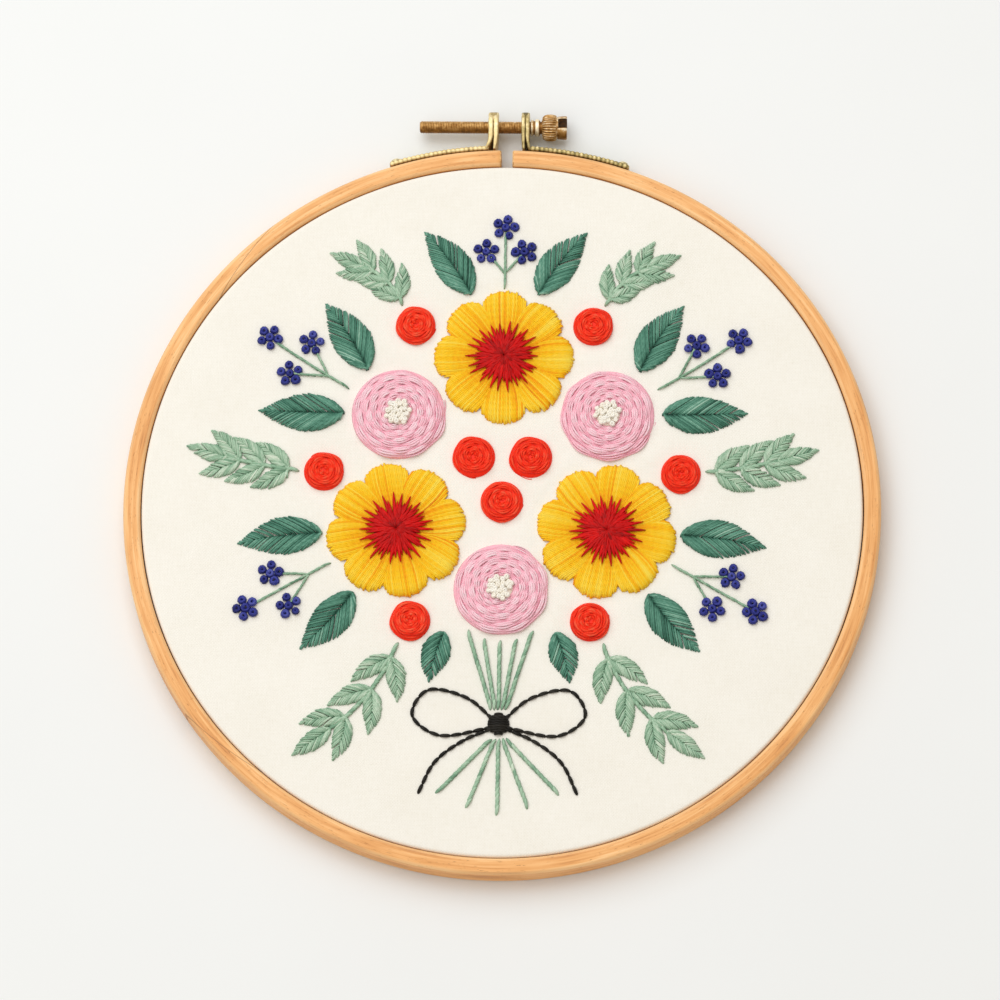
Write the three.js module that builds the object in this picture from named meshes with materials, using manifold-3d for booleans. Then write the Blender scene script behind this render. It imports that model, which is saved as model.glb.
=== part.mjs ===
import * as THREE from "three";
import { mergeVertices } from "three/addons/utils/BufferGeometryUtils.js";
import Module from "manifold-3d";

const wasm = await Module();
wasm.setup();

// Hoop embroidery: a stitched cotton cloth held taut between two wooden rings.
// Millimetres. The hoop lies on its back on z = 0, +Z points out of the cloth's face
// and +Y points from the middle of the hoop to its screw.

// Clearance between pieces, and the height of the rings
const GAP = 0.3;
const RING_DEPTH = 8;
const CENTRE_Z = RING_DEPTH / 2;

// Outer ring, split at the top
const OUTER_RADIUS = 106;
const OUTER_WALL = 4.8;
const SLIT_WIDTH = 3.2;
const EDGE_ROUND = 1.3;

// Cloth, drawn over the inner ring and turned down between the two rings
const CLOTH_THICK = 1;
const CLOTH_TOP = 7.6;
const CLOTH_RADIUS = OUTER_RADIUS - OUTER_WALL - GAP;
const CLOTH_FOOT = 0.4;
const FOLD_ROUND = 1.4;

// Inner ring
const INNER_RADIUS = CLOTH_RADIUS - CLOTH_THICK - GAP;
const INNER_WALL = 4.4;
const INNER_DEPTH = CLOTH_TOP - CLOTH_THICK - GAP;
const INNER_ROUND = 0.9;

// Brass fittings, with x measured from the middle of the slit
const SCREW_RISE = 8;
const SCREW_Y = OUTER_RADIUS + SCREW_RISE;
const SHANK_RADIUS = 1.75;
const HOLE_RADIUS = SHANK_RADIUS + GAP;
const SHANK_END_X = -25;
const LUG_RADIUS = 4;
const LUG_CROWN = 0.4;
const LUG_LEFT = { near: -2.5, far: -5.4 };
const LUG_RIGHT = { near: 4, far: 6.3 };
const STRIP_THICK = 1;
const STRIP_WIDTH = 7;
const STRIP_RADIUS = OUTER_RADIUS + GAP;
const STRIP_REACH = { left: 18.1, right: 18.9 };
const RIB_RISE = 0.4;
const RIB_PITCH_DEG = 0.95;
const TACK_HEAD_RADIUS = 1.6;
const TACK_HEAD_RISE = 1.1;
const TACK_SHANK_RADIUS = 0.6;
const TACK_DEPTH = 3.2;
const TACK_INSET_DEG = 1.1;
const HEAD_X = LUG_RIGHT.far + GAP;
const SLOT_WIDTH = 2.8;
const SLOT_DEPTH = 2.6;
const SLOT_LEAN_DEG = 5;
const BARREL_RADIUS = 3.85;
const KNURL_TEETH = 16;
const KNURL_DEPTH = 0.3;

// Reach of the fittings beyond the rings, which sets where the part's own origin lies
const TOP_REACH = SCREW_Y + LUG_CROWN + LUG_RADIUS;
const ORIGIN_Y = (TOP_REACH - OUTER_RADIUS) / 2;

// Stitched posy: how high each kind of stitch stands
const STITCH_BASE = CLOTH_TOP + GAP;
const LEAF_RISE = 1.0;
const STEM_RISE = 0.8;
const PETAL_RISE = 1.1;
const EYE_RISE = 1.3;
const ROSE_RISE = 2.2;
const ROSE_SEAT = 1.7;
const KNOTS_RISE = 1.1;
const BUD_RISE = 2.0;
const BERRY_RISE = 1.1;
const STEM_HALF_WIDTH = 0.75;
const BOW_HALF_WIDTH = 0.75;

// Stitched posy: the flowers
const DAISY_RADIUS = 19.5;
const DAISY_PETALS = 8;
const PETAL_FOOT = 3.5;
const EYE_RADIUS = 6.4;
const ROSE_RADIUS = 14;
const KNOTS_RADIUS = 3.8;
const BERRY_RADIUS = 3.6;
const BERRY_OUT = 5.4;
const LOBE_DEPTH = 0.14;
const SWIRL = 0.14;
const LEAFLET_SLIM = 0.46;
const LEAFLET_TURN = 44;

const DAISIES = [
  { name: "top", x: 0, y: 44, turn: 0 },
  { name: "left", x: -29.4, y: -7, turn: 11 },
  { name: "right", x: 29.4, y: -7, turn: -11 },
];
const ROSES = [
  { name: "left", x: -29.4, y: 27 },
  { name: "right", x: 29.4, y: 27 },
  { name: "low", x: 0, y: -24 },
];
const BUDS = [
  { x: 8, y: 14.5, radius: 6.4 },
  { x: -8, y: 14.5, radius: 6.4 },
  { x: 0, y: 1.5, radius: 6.4 },
  { x: 25, y: 53.3, radius: 6 },
  { x: -25, y: 53.3, radius: 6 },
  { x: 50, y: 10, radius: 6 },
  { x: -50, y: 10, radius: 6 },
  { x: 25, y: -33.3, radius: 6 },
  { x: -25, y: -33.3, radius: 6 },
];

// Leaves, sprays and berries of the right-hand side, and each is mirrored to the left.
// Headings are in degrees from +X, and bend is the turn from foot to tip.
const LEAVES = [
  { x: 9.4, y: 62.4, heading: 62, length: 23, width: 10.5, bend: -16 },
  { x: 38.2, y: 39.8, heading: 66, length: 23, width: 11, bend: -16 },
  { x: 44.4, y: 27.4, heading: -2, length: 24, width: 11, bend: 6 },
  { x: 49.8, y: -8, heading: -2, length: 24, width: 11, bend: -12 },
  { x: 41, y: -25, heading: -56, length: 22, width: 10.5, bend: 14 },
  { x: 15.4, y: -36.4, heading: -66, length: 15, width: 8, bend: -16 },
];
const SPRAYS = [
  { x: 28.6, y: 59.4, heading: 66, length: 17, bend: -44, leaf: 11 },
  { x: 57, y: 10.5, heading: 4, length: 21, bend: 12, leaf: 12 },
  { x: 28.6, y: -39.6, heading: -72, length: 32, bend: 36, leaf: 13 },
];
const SPRIGS = [
  { x: 0, y: 64.4, heading: 90, length: 18, bend: 0 },
  { x: 43.4, y: 34.6, heading: 30, length: 27, bend: 6 },
  { x: 47.6, y: -16.6, heading: -30, length: 27, bend: 0 },
];

// Stalks below the posy, gathered at a bow: where each leaves the rose and where it ends
const WAIST_Y = -63;
const WAIST_PITCH = 1.0;
const BOW_CLEAR = 4.2;
const KNOT_RADIUS = 3;
const STALKS = [
  { top: { x: -9, y: -36 }, end: { x: -17, y: -83 } },
  { top: { x: -4.5, y: -38.4 }, end: { x: -8.5, y: -87 } },
  { top: { x: 0, y: -38.9 }, end: { x: 0, y: -89 } },
  { top: { x: 4.5, y: -38.4 }, end: { x: 8.5, y: -87 } },
  { top: { x: 9, y: -36 }, end: { x: 17, y: -83 } },
];
const BOW_LOOP = [
  { x: 1, y: 0.8 },
  { x: 9, y: 7.5 },
  { x: 20, y: 9.5 },
  { x: 24, y: 2.5 },
  { x: 17, y: -3.2 },
  { x: 1, y: -0.8 },
];
const BOW_TAIL = [
  { x: 1, y: -1 },
  { x: 10, y: -5 },
  { x: 17.5, y: -11 },
  { x: 22, y: -20 },
];

/** Points in polar form about the hoop's middle, with the angle in degrees from +Y, clockwise. */
function onRing(radius, degrees) {
  const angle = THREE.MathUtils.degToRad(90 - degrees);
  return new THREE.Vector2(radius * Math.cos(angle), radius * Math.sin(angle));
}

/** A closed surface through rows of points. Each row turns clockwise, seen along the rows. */
function loft(rows) {
  const count = rows[0].length;
  const positions = rows.flat().flatMap((p) => [p.x, p.y, p.z]);
  const index = [];
  for (let i = 0; i + 1 < rows.length; i += 1) {
    for (let j = 0; j < count; j += 1) {
      const next = (j + 1) % count;
      const low = i * count;
      const high = low + count;
      index.push(low + j, low + next, high + next, low + j, high + next, high + j);
    }
  }
  const last = (rows.length - 1) * count;
  for (let j = 1; j + 1 < count; j += 1) {
    index.push(0, j + 1, j);
    index.push(last, last + j, last + j + 1);
  }
  const geometry = new THREE.BufferGeometry();
  geometry.setAttribute("position", new THREE.Float32BufferAttribute(positions, 3));
  geometry.setIndex(index);
  return geometry;
}

/** The solid inside a closed geometry, for cutting and joining. */
function solid(geometry) {
  const bare = geometry.clone();
  bare.deleteAttribute("normal");
  bare.deleteAttribute("uv");
  const merged = mergeVertices(bare, 1e-4);
  return new wasm.Manifold(
    new wasm.Mesh({
      numProp: 3,
      vertProperties: new Float32Array(merged.attributes.position.array),
      triVerts: new Uint32Array(merged.index.array),
    }),
  );
}

/** The geometry of a solid. */
function geometryOf(body) {
  const mesh = body.getMesh();
  const geometry = new THREE.BufferGeometry();
  geometry.setAttribute("position", new THREE.BufferAttribute(mesh.vertProperties, 3));
  geometry.setIndex(new THREE.BufferAttribute(mesh.triVerts, 1));
  geometry.computeVertexNormals();
  return geometry;
}

/** Several closed geometries joined into one solid. */
function joined(geometries) {
  return geometries.map(solid).reduce((whole, piece) => whole.add(piece));
}

function colour(hex, roughness, metalness = 0) {
  return new THREE.MeshStandardMaterial({ color: hex, roughness, metalness });
}

const MATERIALS = {
  beech: colour(0xe9b67c, 0.55),
  cotton: colour(0xf7f3e6, 0.95),
  brass: colour(0xcdb37a, 0.3, 1),
  bronze: colour(0x8e6536, 0.4, 1),
  amber: colour(0xf6b41f, 0.7),
  crimson: colour(0xa90d16, 0.7),
  pink: colour(0xf0a3c4, 0.7),
  coral: colour(0xf43a22, 0.7),
  pine: colour(0x4b8770, 0.7),
  sage: colour(0x93bb9f, 0.7),
  navy: colour(0x2d3386, 0.7),
  white: colour(0xf6eedd, 0.8),
  black: colour(0x1c1b1f, 0.7),
};

const part = new THREE.Group();

function addNode(name, geometry, material) {
  const mesh = new THREE.Mesh(geometry, material.clone());
  mesh.name = name;
  part.add(mesh);
}

// ---------------------------------------------------------------- rings and cloth

const RING_STEPS = 72;

/** A ring turned from a closed profile of radius and height, with its axis along +Z. */
function turnedRing(profile) {
  const points = [...profile, profile[0]].map(([r, z]) => new THREE.Vector2(r, z));
  const geometry = new THREE.LatheGeometry(points, RING_STEPS);
  geometry.rotateX(Math.PI / 2);
  return geometry;
}

/** A ring's section: a rectangle with its four long edges taken off. */
function bevelledSection(inner, outer, depth, round) {
  return [
    [inner + round, 0],
    [outer - round, 0],
    [outer, round],
    [outer, depth - round],
    [outer - round, depth],
    [inner + round, depth],
    [inner, depth - round],
    [inner, round],
  ];
}

/** A round rod from one point along a direction, eight-sided unless told otherwise. */
function rod(radius, from, to, sides = 8) {
  const axis = new THREE.Vector3().subVectors(to, from);
  const geometry = new THREE.CylinderGeometry(radius, radius, axis.length(), sides);
  const turn = new THREE.Quaternion().setFromUnitVectors(
    new THREE.Vector3(0, 1, 0),
    axis.clone().normalize(),
  );
  geometry.applyQuaternion(turn);
  geometry.translate(...from.clone().lerp(to, 0.5).toArray());
  return geometry;
}

/** Where a tack stands on the ring, as degrees from the slit. */
const TACK_DEG = {
  left: -(STRIP_REACH.left - TACK_INSET_DEG),
  right: STRIP_REACH.right - TACK_INSET_DEG,
};

/** The hole or shank of a tack: a rod along the ring's radius. */
function tackRod(degrees, radius, inner, outer) {
  const a = onRing(inner, degrees);
  const b = onRing(outer, degrees);
  return rod(
    radius,
    new THREE.Vector3(a.x, a.y, CENTRE_Z),
    new THREE.Vector3(b.x, b.y, CENTRE_Z),
  );
}

function addRings() {
  const inside = OUTER_RADIUS - OUTER_WALL;
  const section = bevelledSection(inside, OUTER_RADIUS, RING_DEPTH, EDGE_ROUND);
  const slit = new THREE.BoxGeometry(SLIT_WIDTH, 4 * OUTER_WALL, 2 * RING_DEPTH);
  slit.translate(0, OUTER_RADIUS, CENTRE_Z);
  let outer = solid(turnedRing(section)).subtract(solid(slit));
  for (const degrees of [TACK_DEG.left, TACK_DEG.right]) {
    const hole = tackRod(
      degrees,
      TACK_SHANK_RADIUS + GAP,
      OUTER_RADIUS - TACK_DEPTH - GAP,
      OUTER_RADIUS + 1,
    );
    outer = outer.subtract(solid(hole));
  }
  addNode("outer_ring", geometryOf(outer), MATERIALS.beech);

  const innerSection = bevelledSection(
    INNER_RADIUS - INNER_WALL,
    INNER_RADIUS,
    INNER_DEPTH,
    INNER_ROUND,
  );
  addNode("inner_ring", turnedRing(innerSection), MATERIALS.beech);
}

/** One sheet: a flat disc whose rim rolls over the inner ring and runs down to the back. */
function addCloth() {
  const top = CLOTH_TOP;
  const under = CLOTH_TOP - CLOTH_THICK;
  const skirt = CLOTH_RADIUS - CLOTH_THICK;
  const profile = [
    [0, top],
    [CLOTH_RADIUS - FOLD_ROUND, top],
    [CLOTH_RADIUS - 0.3 * FOLD_ROUND, top - 0.3 * FOLD_ROUND],
    [CLOTH_RADIUS, top - FOLD_ROUND],
    [CLOTH_RADIUS, CLOTH_FOOT],
    [skirt, CLOTH_FOOT],
    [skirt, under - 0.5 * FOLD_ROUND],
    [skirt - 0.5 * FOLD_ROUND, under],
    [0, under],
  ];
  const points = profile.map(([r, z]) => new THREE.Vector2(r, z)).reverse();
  const geometry = new THREE.LatheGeometry(points, RING_STEPS);
  geometry.rotateX(Math.PI / 2);
  addNode("cloth", geometry, MATERIALS.cotton);
}

// ---------------------------------------------------------------- brass fittings

/** A ribbed strip bent along the ring, between two angles from the slit. */
function ribbedStrip(from, to) {
  const steps = 2 * Math.round((to - from) / RIB_PITCH_DEG);
  const outline = [];
  for (let i = 0; i <= steps; i += 1) {
    const rise = STRIP_THICK + (i % 2) * RIB_RISE;
    outline.push(onRing(STRIP_RADIUS + rise, from + ((to - from) * i) / steps));
  }
  for (let i = steps; i >= 0; i -= 4) {
    outline.push(onRing(STRIP_RADIUS, from + ((to - from) * i) / steps));
  }
  const last = onRing(STRIP_RADIUS, from);
  if (outline[outline.length - 1].distanceTo(last) > GAP) {
    outline.push(last);
  }
  const geometry = new THREE.ExtrudeGeometry(new THREE.Shape(outline), {
    depth: STRIP_WIDTH,
    bevelEnabled: false,
  });
  geometry.translate(0, 0, CENTRE_Z - STRIP_WIDTH / 2);
  return geometry;
}

/** A lug: the strip's end folded up into a tongue with a round top and a hole for the screw. */
function lug(span) {
  const foot = OUTER_RADIUS + GAP + 0.1;
  const tongue = new THREE.Shape();
  tongue.moveTo(-STRIP_WIDTH / 2, foot);
  tongue.lineTo(-LUG_RADIUS, SCREW_Y + LUG_CROWN);
  tongue.absarc(0, SCREW_Y + LUG_CROWN, LUG_RADIUS, Math.PI, 0, true);
  tongue.lineTo(STRIP_WIDTH / 2, foot);
  const hole = new THREE.Path();
  hole.absarc(0, SCREW_Y, HOLE_RADIUS, 0, 2 * Math.PI, false);
  tongue.holes.push(hole);
  const geometry = new THREE.ExtrudeGeometry(tongue, {
    depth: Math.abs(span.far - span.near),
    bevelEnabled: false,
    curveSegments: 10,
  });
  geometry.rotateY(Math.PI / 2);
  geometry.translate(Math.min(span.near, span.far), 0, CENTRE_Z);
  return geometry;
}

/** The narrow opening left at a lug's foot where the strip is folded back on itself. */
function footNotch(span) {
  const middle = (span.near + span.far) / 2;
  const notch = new THREE.Shape([
    new THREE.Vector2(middle - 0.5, OUTER_RADIUS),
    new THREE.Vector2(middle + 0.5, OUTER_RADIUS),
    new THREE.Vector2(middle, OUTER_RADIUS + 4),
  ]);
  const geometry = new THREE.ExtrudeGeometry(notch, {
    depth: 2 * RING_DEPTH,
    bevelEnabled: false,
  });
  geometry.translate(0, 0, -CENTRE_Z);
  return geometry;
}

function addBracket(side, span) {
  const lugDeg = THREE.MathUtils.radToDeg(Math.asin((span.far * 0.9) / STRIP_RADIUS));
  const endDeg = side === "left" ? -STRIP_REACH.left : STRIP_REACH.right;
  const strip = ribbedStrip(Math.min(lugDeg, endDeg), Math.max(lugDeg, endDeg));
  const hole = tackRod(
    TACK_DEG[side],
    TACK_SHANK_RADIUS + GAP,
    OUTER_RADIUS - 1,
    OUTER_RADIUS + 4,
  );
  const bracket = joined([strip, lug(span)])
    .subtract(solid(footNotch(span)))
    .subtract(solid(hole));
  addNode(`bracket_${side}`, geometryOf(bracket), MATERIALS.brass);
}

/** A small round-headed nail that pins the end of a strip to the ring. */
function addTack(side) {
  const seat = STRIP_RADIUS + STRIP_THICK + RIB_RISE + GAP;
  const section = [
    [0, 0],
    [TACK_HEAD_RADIUS, 0],
    [0.75 * TACK_HEAD_RADIUS, 0.7 * TACK_HEAD_RISE],
    [0, TACK_HEAD_RISE],
  ];
  const head = new THREE.LatheGeometry(
    section.map(([r, y]) => new THREE.Vector2(r, y)),
    12,
  );
  head.translate(0, seat, 0);
  head.rotateZ(THREE.MathUtils.degToRad(-TACK_DEG[side]));
  head.translate(0, 0, CENTRE_Z);
  const shank = tackRod(TACK_DEG[side], TACK_SHANK_RADIUS, OUTER_RADIUS - TACK_DEPTH, seat + 0.2);
  addNode(`tack_${side}`, geometryOf(joined([head, shank])), MATERIALS.brass);
}

/** A turned piece along +X on the screw's axis, from stations of x and radius. */
function turnedAlongX(stations, sides) {
  const rows = stations.map(({ x, radius, toothed }) => {
    const row = [];
    for (let i = 0; i < sides; i += 1) {
      const angle = (-2 * Math.PI * i) / sides;
      const r = radius - (toothed && i % 2 ? KNURL_DEPTH : 0);
      row.push(new THREE.Vector3(x, SCREW_Y + r * Math.sin(angle), CENTRE_Z + r * Math.cos(angle)));
    }
    return row;
  });
  return loft(rows);
}

/** The screw: a long shank, a collar, a knurled barrel and a slotted end, in one piece. */
function addScrew() {
  const shank = turnedAlongX(
    [
      { x: SHANK_END_X, radius: SHANK_RADIUS - 0.4 },
      { x: SHANK_END_X + 0.4, radius: SHANK_RADIUS },
      { x: HEAD_X + 1, radius: SHANK_RADIUS },
    ],
    16,
  );
  const head = turnedAlongX(
    [
      { x: HEAD_X, radius: 2.3 },
      { x: HEAD_X + 0.5, radius: 2.3 },
      { x: HEAD_X + 1, radius: 1.9 },
      { x: HEAD_X + 1.4, radius: 2.4 },
      { x: HEAD_X + 2.3, radius: 2.4 },
      { x: HEAD_X + 2.7, radius: 1.9 },
      { x: HEAD_X + 3.1, radius: 1.9 },
      { x: HEAD_X + 3.4, radius: 3.2, toothed: true },
      { x: HEAD_X + 4.5, radius: 3.75, toothed: true },
      { x: HEAD_X + 5.9, radius: BARREL_RADIUS, toothed: true },
      { x: HEAD_X + 7.3, radius: 3.5, toothed: true },
      { x: HEAD_X + 7.5, radius: 3.2 },
      { x: HEAD_X + 10, radius: 3.4 },
      { x: HEAD_X + 10.3, radius: 3.1 },
    ],
    2 * KNURL_TEETH,
  );
  const slot = new THREE.BoxGeometry(2 * SLOT_DEPTH, SLOT_WIDTH, 2 * RING_DEPTH);
  slot.rotateX(THREE.MathUtils.degToRad(-SLOT_LEAN_DEG));
  slot.translate(HEAD_X + 10.3, SCREW_Y, CENTRE_Z);
  const screw = joined([shank, head]).subtract(solid(slot));
  addNode("screw", geometryOf(screw), MATERIALS.bronze);
}

// ---------------------------------------------------------------- stitched posy

/** Points along an arc of the given length that starts at a heading and turns by bend. */
function arcPath({ x, y, heading, length, bend }, steps) {
  const path = [];
  const start = THREE.MathUtils.degToRad(heading);
  const turn = THREE.MathUtils.degToRad(bend) || 1e-6;
  const radius = length / turn;
  for (let i = 0; i <= steps; i += 1) {
    const angle = start + (turn * i) / steps;
    path.push({
      x: x + radius * (Math.sin(angle) - Math.sin(start)),
      y: y - radius * (Math.cos(angle) - Math.cos(start)),
      angle,
    });
  }
  return path;
}

// Sections of a line of stitches: flat below, and either crowned or with two shoulders above
const CROWNED = [
  { side: 1, up: 0 },
  { side: 0, up: 1 },
  { side: -1, up: 0 },
];
const SHOULDERED = [
  { side: 1, up: 0 },
  { side: 0.72, up: 0.75 },
  { side: 0, up: 1 },
  { side: -0.72, up: 0.75 },
  { side: -1, up: 0 },
];

/** A low pad of stitches along a path, with a half width for each of its points. */
function pad(path, halfWidths, rise, section = CROWNED, lift = 0) {
  const rows = path.map((p, i) =>
    section.map(({ side, up }) => {
      const out = side * halfWidths[i];
      const x = p.x - out * Math.sin(p.angle);
      const y = p.y + out * Math.cos(p.angle);
      return new THREE.Vector3(x, y, up * rise);
    }),
  );
  const geometry = loft(rows);
  geometry.translate(0, 0, STITCH_BASE + lift);
  return geometry;
}

// Pads that are joined start a hair apart in height, so that no two floors coincide
const LIFT = 0.03;

// Share of the full half width at even steps from foot to tip
const LEAF_SHAPE = [0.12, 0.62, 0.95, 1, 0.84, 0.52, 0.06];
const LEAFLET_SHAPE = [0.15, 0.96, 0.8, 0.08];
const PETAL_SHAPE = [0.3, 0.62, 0.92, 1, 0.38];

function leaf(place, shape = LEAF_SHAPE, section = SHOULDERED) {
  const path = arcPath({ bend: 0, ...place }, shape.length - 1);
  const widths = shape.map((share) => (share * place.width) / 2);
  return pad(path, widths, LEAF_RISE, section, place.lift);
}

// Share of a dome's radius and of its rise, from the rim to the middle
const DOME_SHAPE = [
  { r: 1, z: 0 },
  { r: 0.96, z: 0.55 },
  { r: 0.74, z: 0.92 },
  { r: 0.3, z: 1 },
];
const ROSE_SHAPE = [
  { r: 1, z: 0 },
  { r: 0.98, z: 0.5 },
  { r: 0.88, z: 0.8 },
  { r: 0.68, z: 0.98 },
  { r: 0.46, z: 1 },
  { r: 0.24, z: 0.72 },
];

/** A low dome of thread, with a lobed rim or a wave that winds round its top. */
function dome({ x, y, radius, rise, base, sides, shape = DOME_SHAPE, lobes = 0, swirl = 0 }) {
  const rows = shape.map((share, k) => {
    const row = [];
    for (let i = 0; i < sides; i += 1) {
      const angle = (2 * Math.PI * i) / sides;
      const wave = k > 1 ? swirl * Math.cos(2 * angle - 9 * share.r) : 0;
      const r = radius * share.r * (1 + (lobes ? LOBE_DEPTH * Math.cos(lobes * angle) : 0));
      const z = base + rise * share.z + wave;
      row.push(new THREE.Vector3(x + r * Math.cos(angle), y + r * Math.sin(angle), z));
    }
    return row;
  });
  return loft(rows);
}

/** A daisy of broad petals that meet round its middle, and the raised eye that sits on them. */
function addDaisy({ name, x, y, turn }) {
  const halfWidth = 1.04 * DAISY_RADIUS * 0.75 * Math.tan(Math.PI / DAISY_PETALS);
  const petals = [];
  for (let i = 0; i < DAISY_PETALS; i += 1) {
    const heading = turn + (360 * i) / DAISY_PETALS;
    const foot = THREE.MathUtils.degToRad(heading);
    const place = {
      x: x + PETAL_FOOT * Math.cos(foot),
      y: y + PETAL_FOOT * Math.sin(foot),
      heading,
      length: DAISY_RADIUS - PETAL_FOOT,
      bend: 0,
    };
    const widths = PETAL_SHAPE.map((share) => share * halfWidth);
    const path = arcPath(place, PETAL_SHAPE.length - 1);
    petals.push(pad(path, widths, PETAL_RISE, SHOULDERED, LIFT * (1 + (i % 2))));
  }
  addNode(`daisy_${name}`, geometryOf(joined(petals)), MATERIALS.amber);
  const eye = dome({
    x,
    y,
    radius: EYE_RADIUS,
    rise: EYE_RISE,
    base: STITCH_BASE + 2 * LIFT + PETAL_RISE + GAP,
    sides: 20,
    lobes: 10,
  });
  addNode(`daisy_${name}_eye`, eye, MATERIALS.crimson);
}

/** A woven rose with a dipped middle that holds a cluster of knots. */
function addRose({ name, x, y }) {
  const rose = dome({
    x,
    y,
    radius: ROSE_RADIUS,
    rise: ROSE_RISE,
    base: STITCH_BASE,
    shape: ROSE_SHAPE,
    sides: 24,
    swirl: SWIRL,
  });
  addNode(`rose_${name}`, rose, MATERIALS.pink);
  const knots = dome({
    x,
    y,
    radius: KNOTS_RADIUS,
    rise: KNOTS_RISE,
    base: STITCH_BASE + ROSE_SEAT + SWIRL + GAP,
    sides: 12,
    lobes: 6,
  });
  addNode(`rose_${name}_knots`, knots, MATERIALS.white);
}

/** Places of the right-hand side with their mirror images, numbered in pairs. */
function mirrored(places) {
  return places.flatMap((place) => {
    if (place.x === 0) {
      return [place];
    }
    const twin = { ...place, x: -place.x, heading: 180 - place.heading, bend: -place.bend };
    return [place, twin];
  });
}

/** A leaflet of a spray, rooted at a point of its stem. */
function leaflet(point, turn, length, lift) {
  const place = {
    x: point.x - STEM_HALF_WIDTH * Math.cos(point.angle),
    y: point.y - STEM_HALF_WIDTH * Math.sin(point.angle),
    heading: THREE.MathUtils.radToDeg(point.angle) + turn,
    length,
    width: LEAFLET_SLIM * length,
    bend: -turn / 2,
    lift,
  };
  return leaf(place, LEAFLET_SHAPE, CROWNED);
}

/** A stem with leaflets in pairs and one at its tip. */
function addSpray(name, place) {
  const path = arcPath(place, 6);
  const stem = pad(path, path.map(() => STEM_HALF_WIDTH), STEM_RISE);
  const pairs = [1, 3, 5].flatMap((step) => [
    leaflet(path[step], LEAFLET_TURN, place.leaf, LIFT),
    leaflet(path[step], -LEAFLET_TURN, place.leaf, 2 * LIFT),
  ]);
  const tip = leaflet(path[6], 0, place.leaf, LIFT);
  addNode(name, geometryOf(joined([stem, ...pairs, tip])), MATERIALS.sage);
}

/** A thin stalk with a berry at its tip and one on either side. */
function addSprig(name, place) {
  const path = arcPath(place, 4);
  const stalk = pad(path, path.map(() => 0.6 * STEM_HALF_WIDTH), STEM_RISE);
  const berry = (point, out) =>
    dome({
      x: point.x - out * Math.sin(point.angle),
      y: point.y + out * Math.cos(point.angle),
      radius: BERRY_RADIUS,
      rise: BERRY_RISE,
      base: STITCH_BASE + LIFT,
      sides: 10,
      lobes: 5,
    });
  const back = arcPath(place, 10)[6];
  const berries = [berry(path[4], 0), berry(back, BERRY_OUT), berry(back, -BERRY_OUT)];
  const twigs = [1, -1].map((side) => {
    const foot = path[1];
    const to = { x: back.x - side * BERRY_OUT * Math.sin(back.angle), y: back.y };
    to.y += side * BERRY_OUT * Math.cos(back.angle);
    return line([foot, to], 0.6 * STEM_HALF_WIDTH, STEM_RISE, 2 * LIFT);
  });
  addNode(name, geometryOf(joined([stalk, ...twigs, ...berries])), MATERIALS.navy);
}

/** A line of stitches through points, as a smooth curve, or straight between two of them. */
function line(points, halfWidth, rise, lift = 0) {
  const curve = new THREE.CatmullRomCurve3(points.map((p) => new THREE.Vector3(p.x, p.y, 0)));
  const steps = points.length === 2 ? 1 : 3 * (points.length - 1);
  const path = [];
  for (let i = 0; i <= steps; i += 1) {
    const at = curve.getPoint(i / steps);
    const along = curve.getTangent(i / steps);
    path.push({ x: at.x, y: at.y, angle: Math.atan2(along.y, along.x) });
  }
  return pad(path, path.map(() => halfWidth), rise, CROWNED, lift);
}

/** The stalks above and below the bow. Neighbours touch at the waist, where they are one. */
function addStalks() {
  const waist = (i) => WAIST_PITCH * (i - (STALKS.length - 1) / 2);
  const upper = STALKS.map(({ top }, i) => {
    const low = { x: waist(i), y: WAIST_Y + BOW_CLEAR };
    return line([top, low], STEM_HALF_WIDTH, STEM_RISE, LIFT * (i % 2));
  });
  const lower = STALKS.map(({ end }, i) => {
    const high = { x: waist(i), y: WAIST_Y - BOW_CLEAR };
    return line([high, end], STEM_HALF_WIDTH, STEM_RISE, LIFT * (i % 2));
  });
  addNode("stalks_upper", geometryOf(joined(upper)), MATERIALS.sage);
  addNode("stalks_lower", geometryOf(joined(lower)), MATERIALS.sage);
}

/** The bow: two loops and two tails in one line of backstitch, and the knot they leave. */
function addBow() {
  const placed = (points, side) => points.map((p) => ({ x: side * p.x, y: WAIST_Y + p.y }));
  const strokes = [1, -1].flatMap((side, i) => [
    line(placed(BOW_LOOP, side), BOW_HALF_WIDTH, STEM_RISE, LIFT * i),
    line(placed(BOW_TAIL, side), BOW_HALF_WIDTH, STEM_RISE, LIFT * (i + 2)),
  ]);
  const knot = dome({
    x: 0,
    y: WAIST_Y,
    radius: KNOT_RADIUS,
    rise: BERRY_RISE,
    base: STITCH_BASE + 4 * LIFT,
    sides: 12,
  });
  addNode("bow", geometryOf(joined([...strokes, knot])), MATERIALS.black);
}

function addPosy() {
  DAISIES.forEach(addDaisy);
  ROSES.forEach(addRose);
  BUDS.forEach((bud, i) => {
    const shape = dome({ ...bud, rise: BUD_RISE, base: STITCH_BASE, sides: 14, swirl: SWIRL });
    addNode(`bud_${i + 1}`, shape, MATERIALS.coral);
  });
  mirrored(LEAVES).forEach((place, i) => {
    addNode(`leaf_${i + 1}`, leaf(place), MATERIALS.pine);
  });
  mirrored(SPRAYS).forEach((place, i) => addSpray(`spray_${i + 1}`, place));
  mirrored(SPRIGS).forEach((place, i) => addSprig(`sprig_${i + 1}`, place));
  addStalks();
  addBow();
}

addRings();
addCloth();
addBracket("left", LUG_LEFT);
addBracket("right", LUG_RIGHT);
addTack("left");
addTack("right");
addScrew();
addPosy();
part.position.y = -ORIGIN_Y;

export default part;
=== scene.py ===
import bpy
import numpy as np
from mathutils import Matrix, Vector


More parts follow.
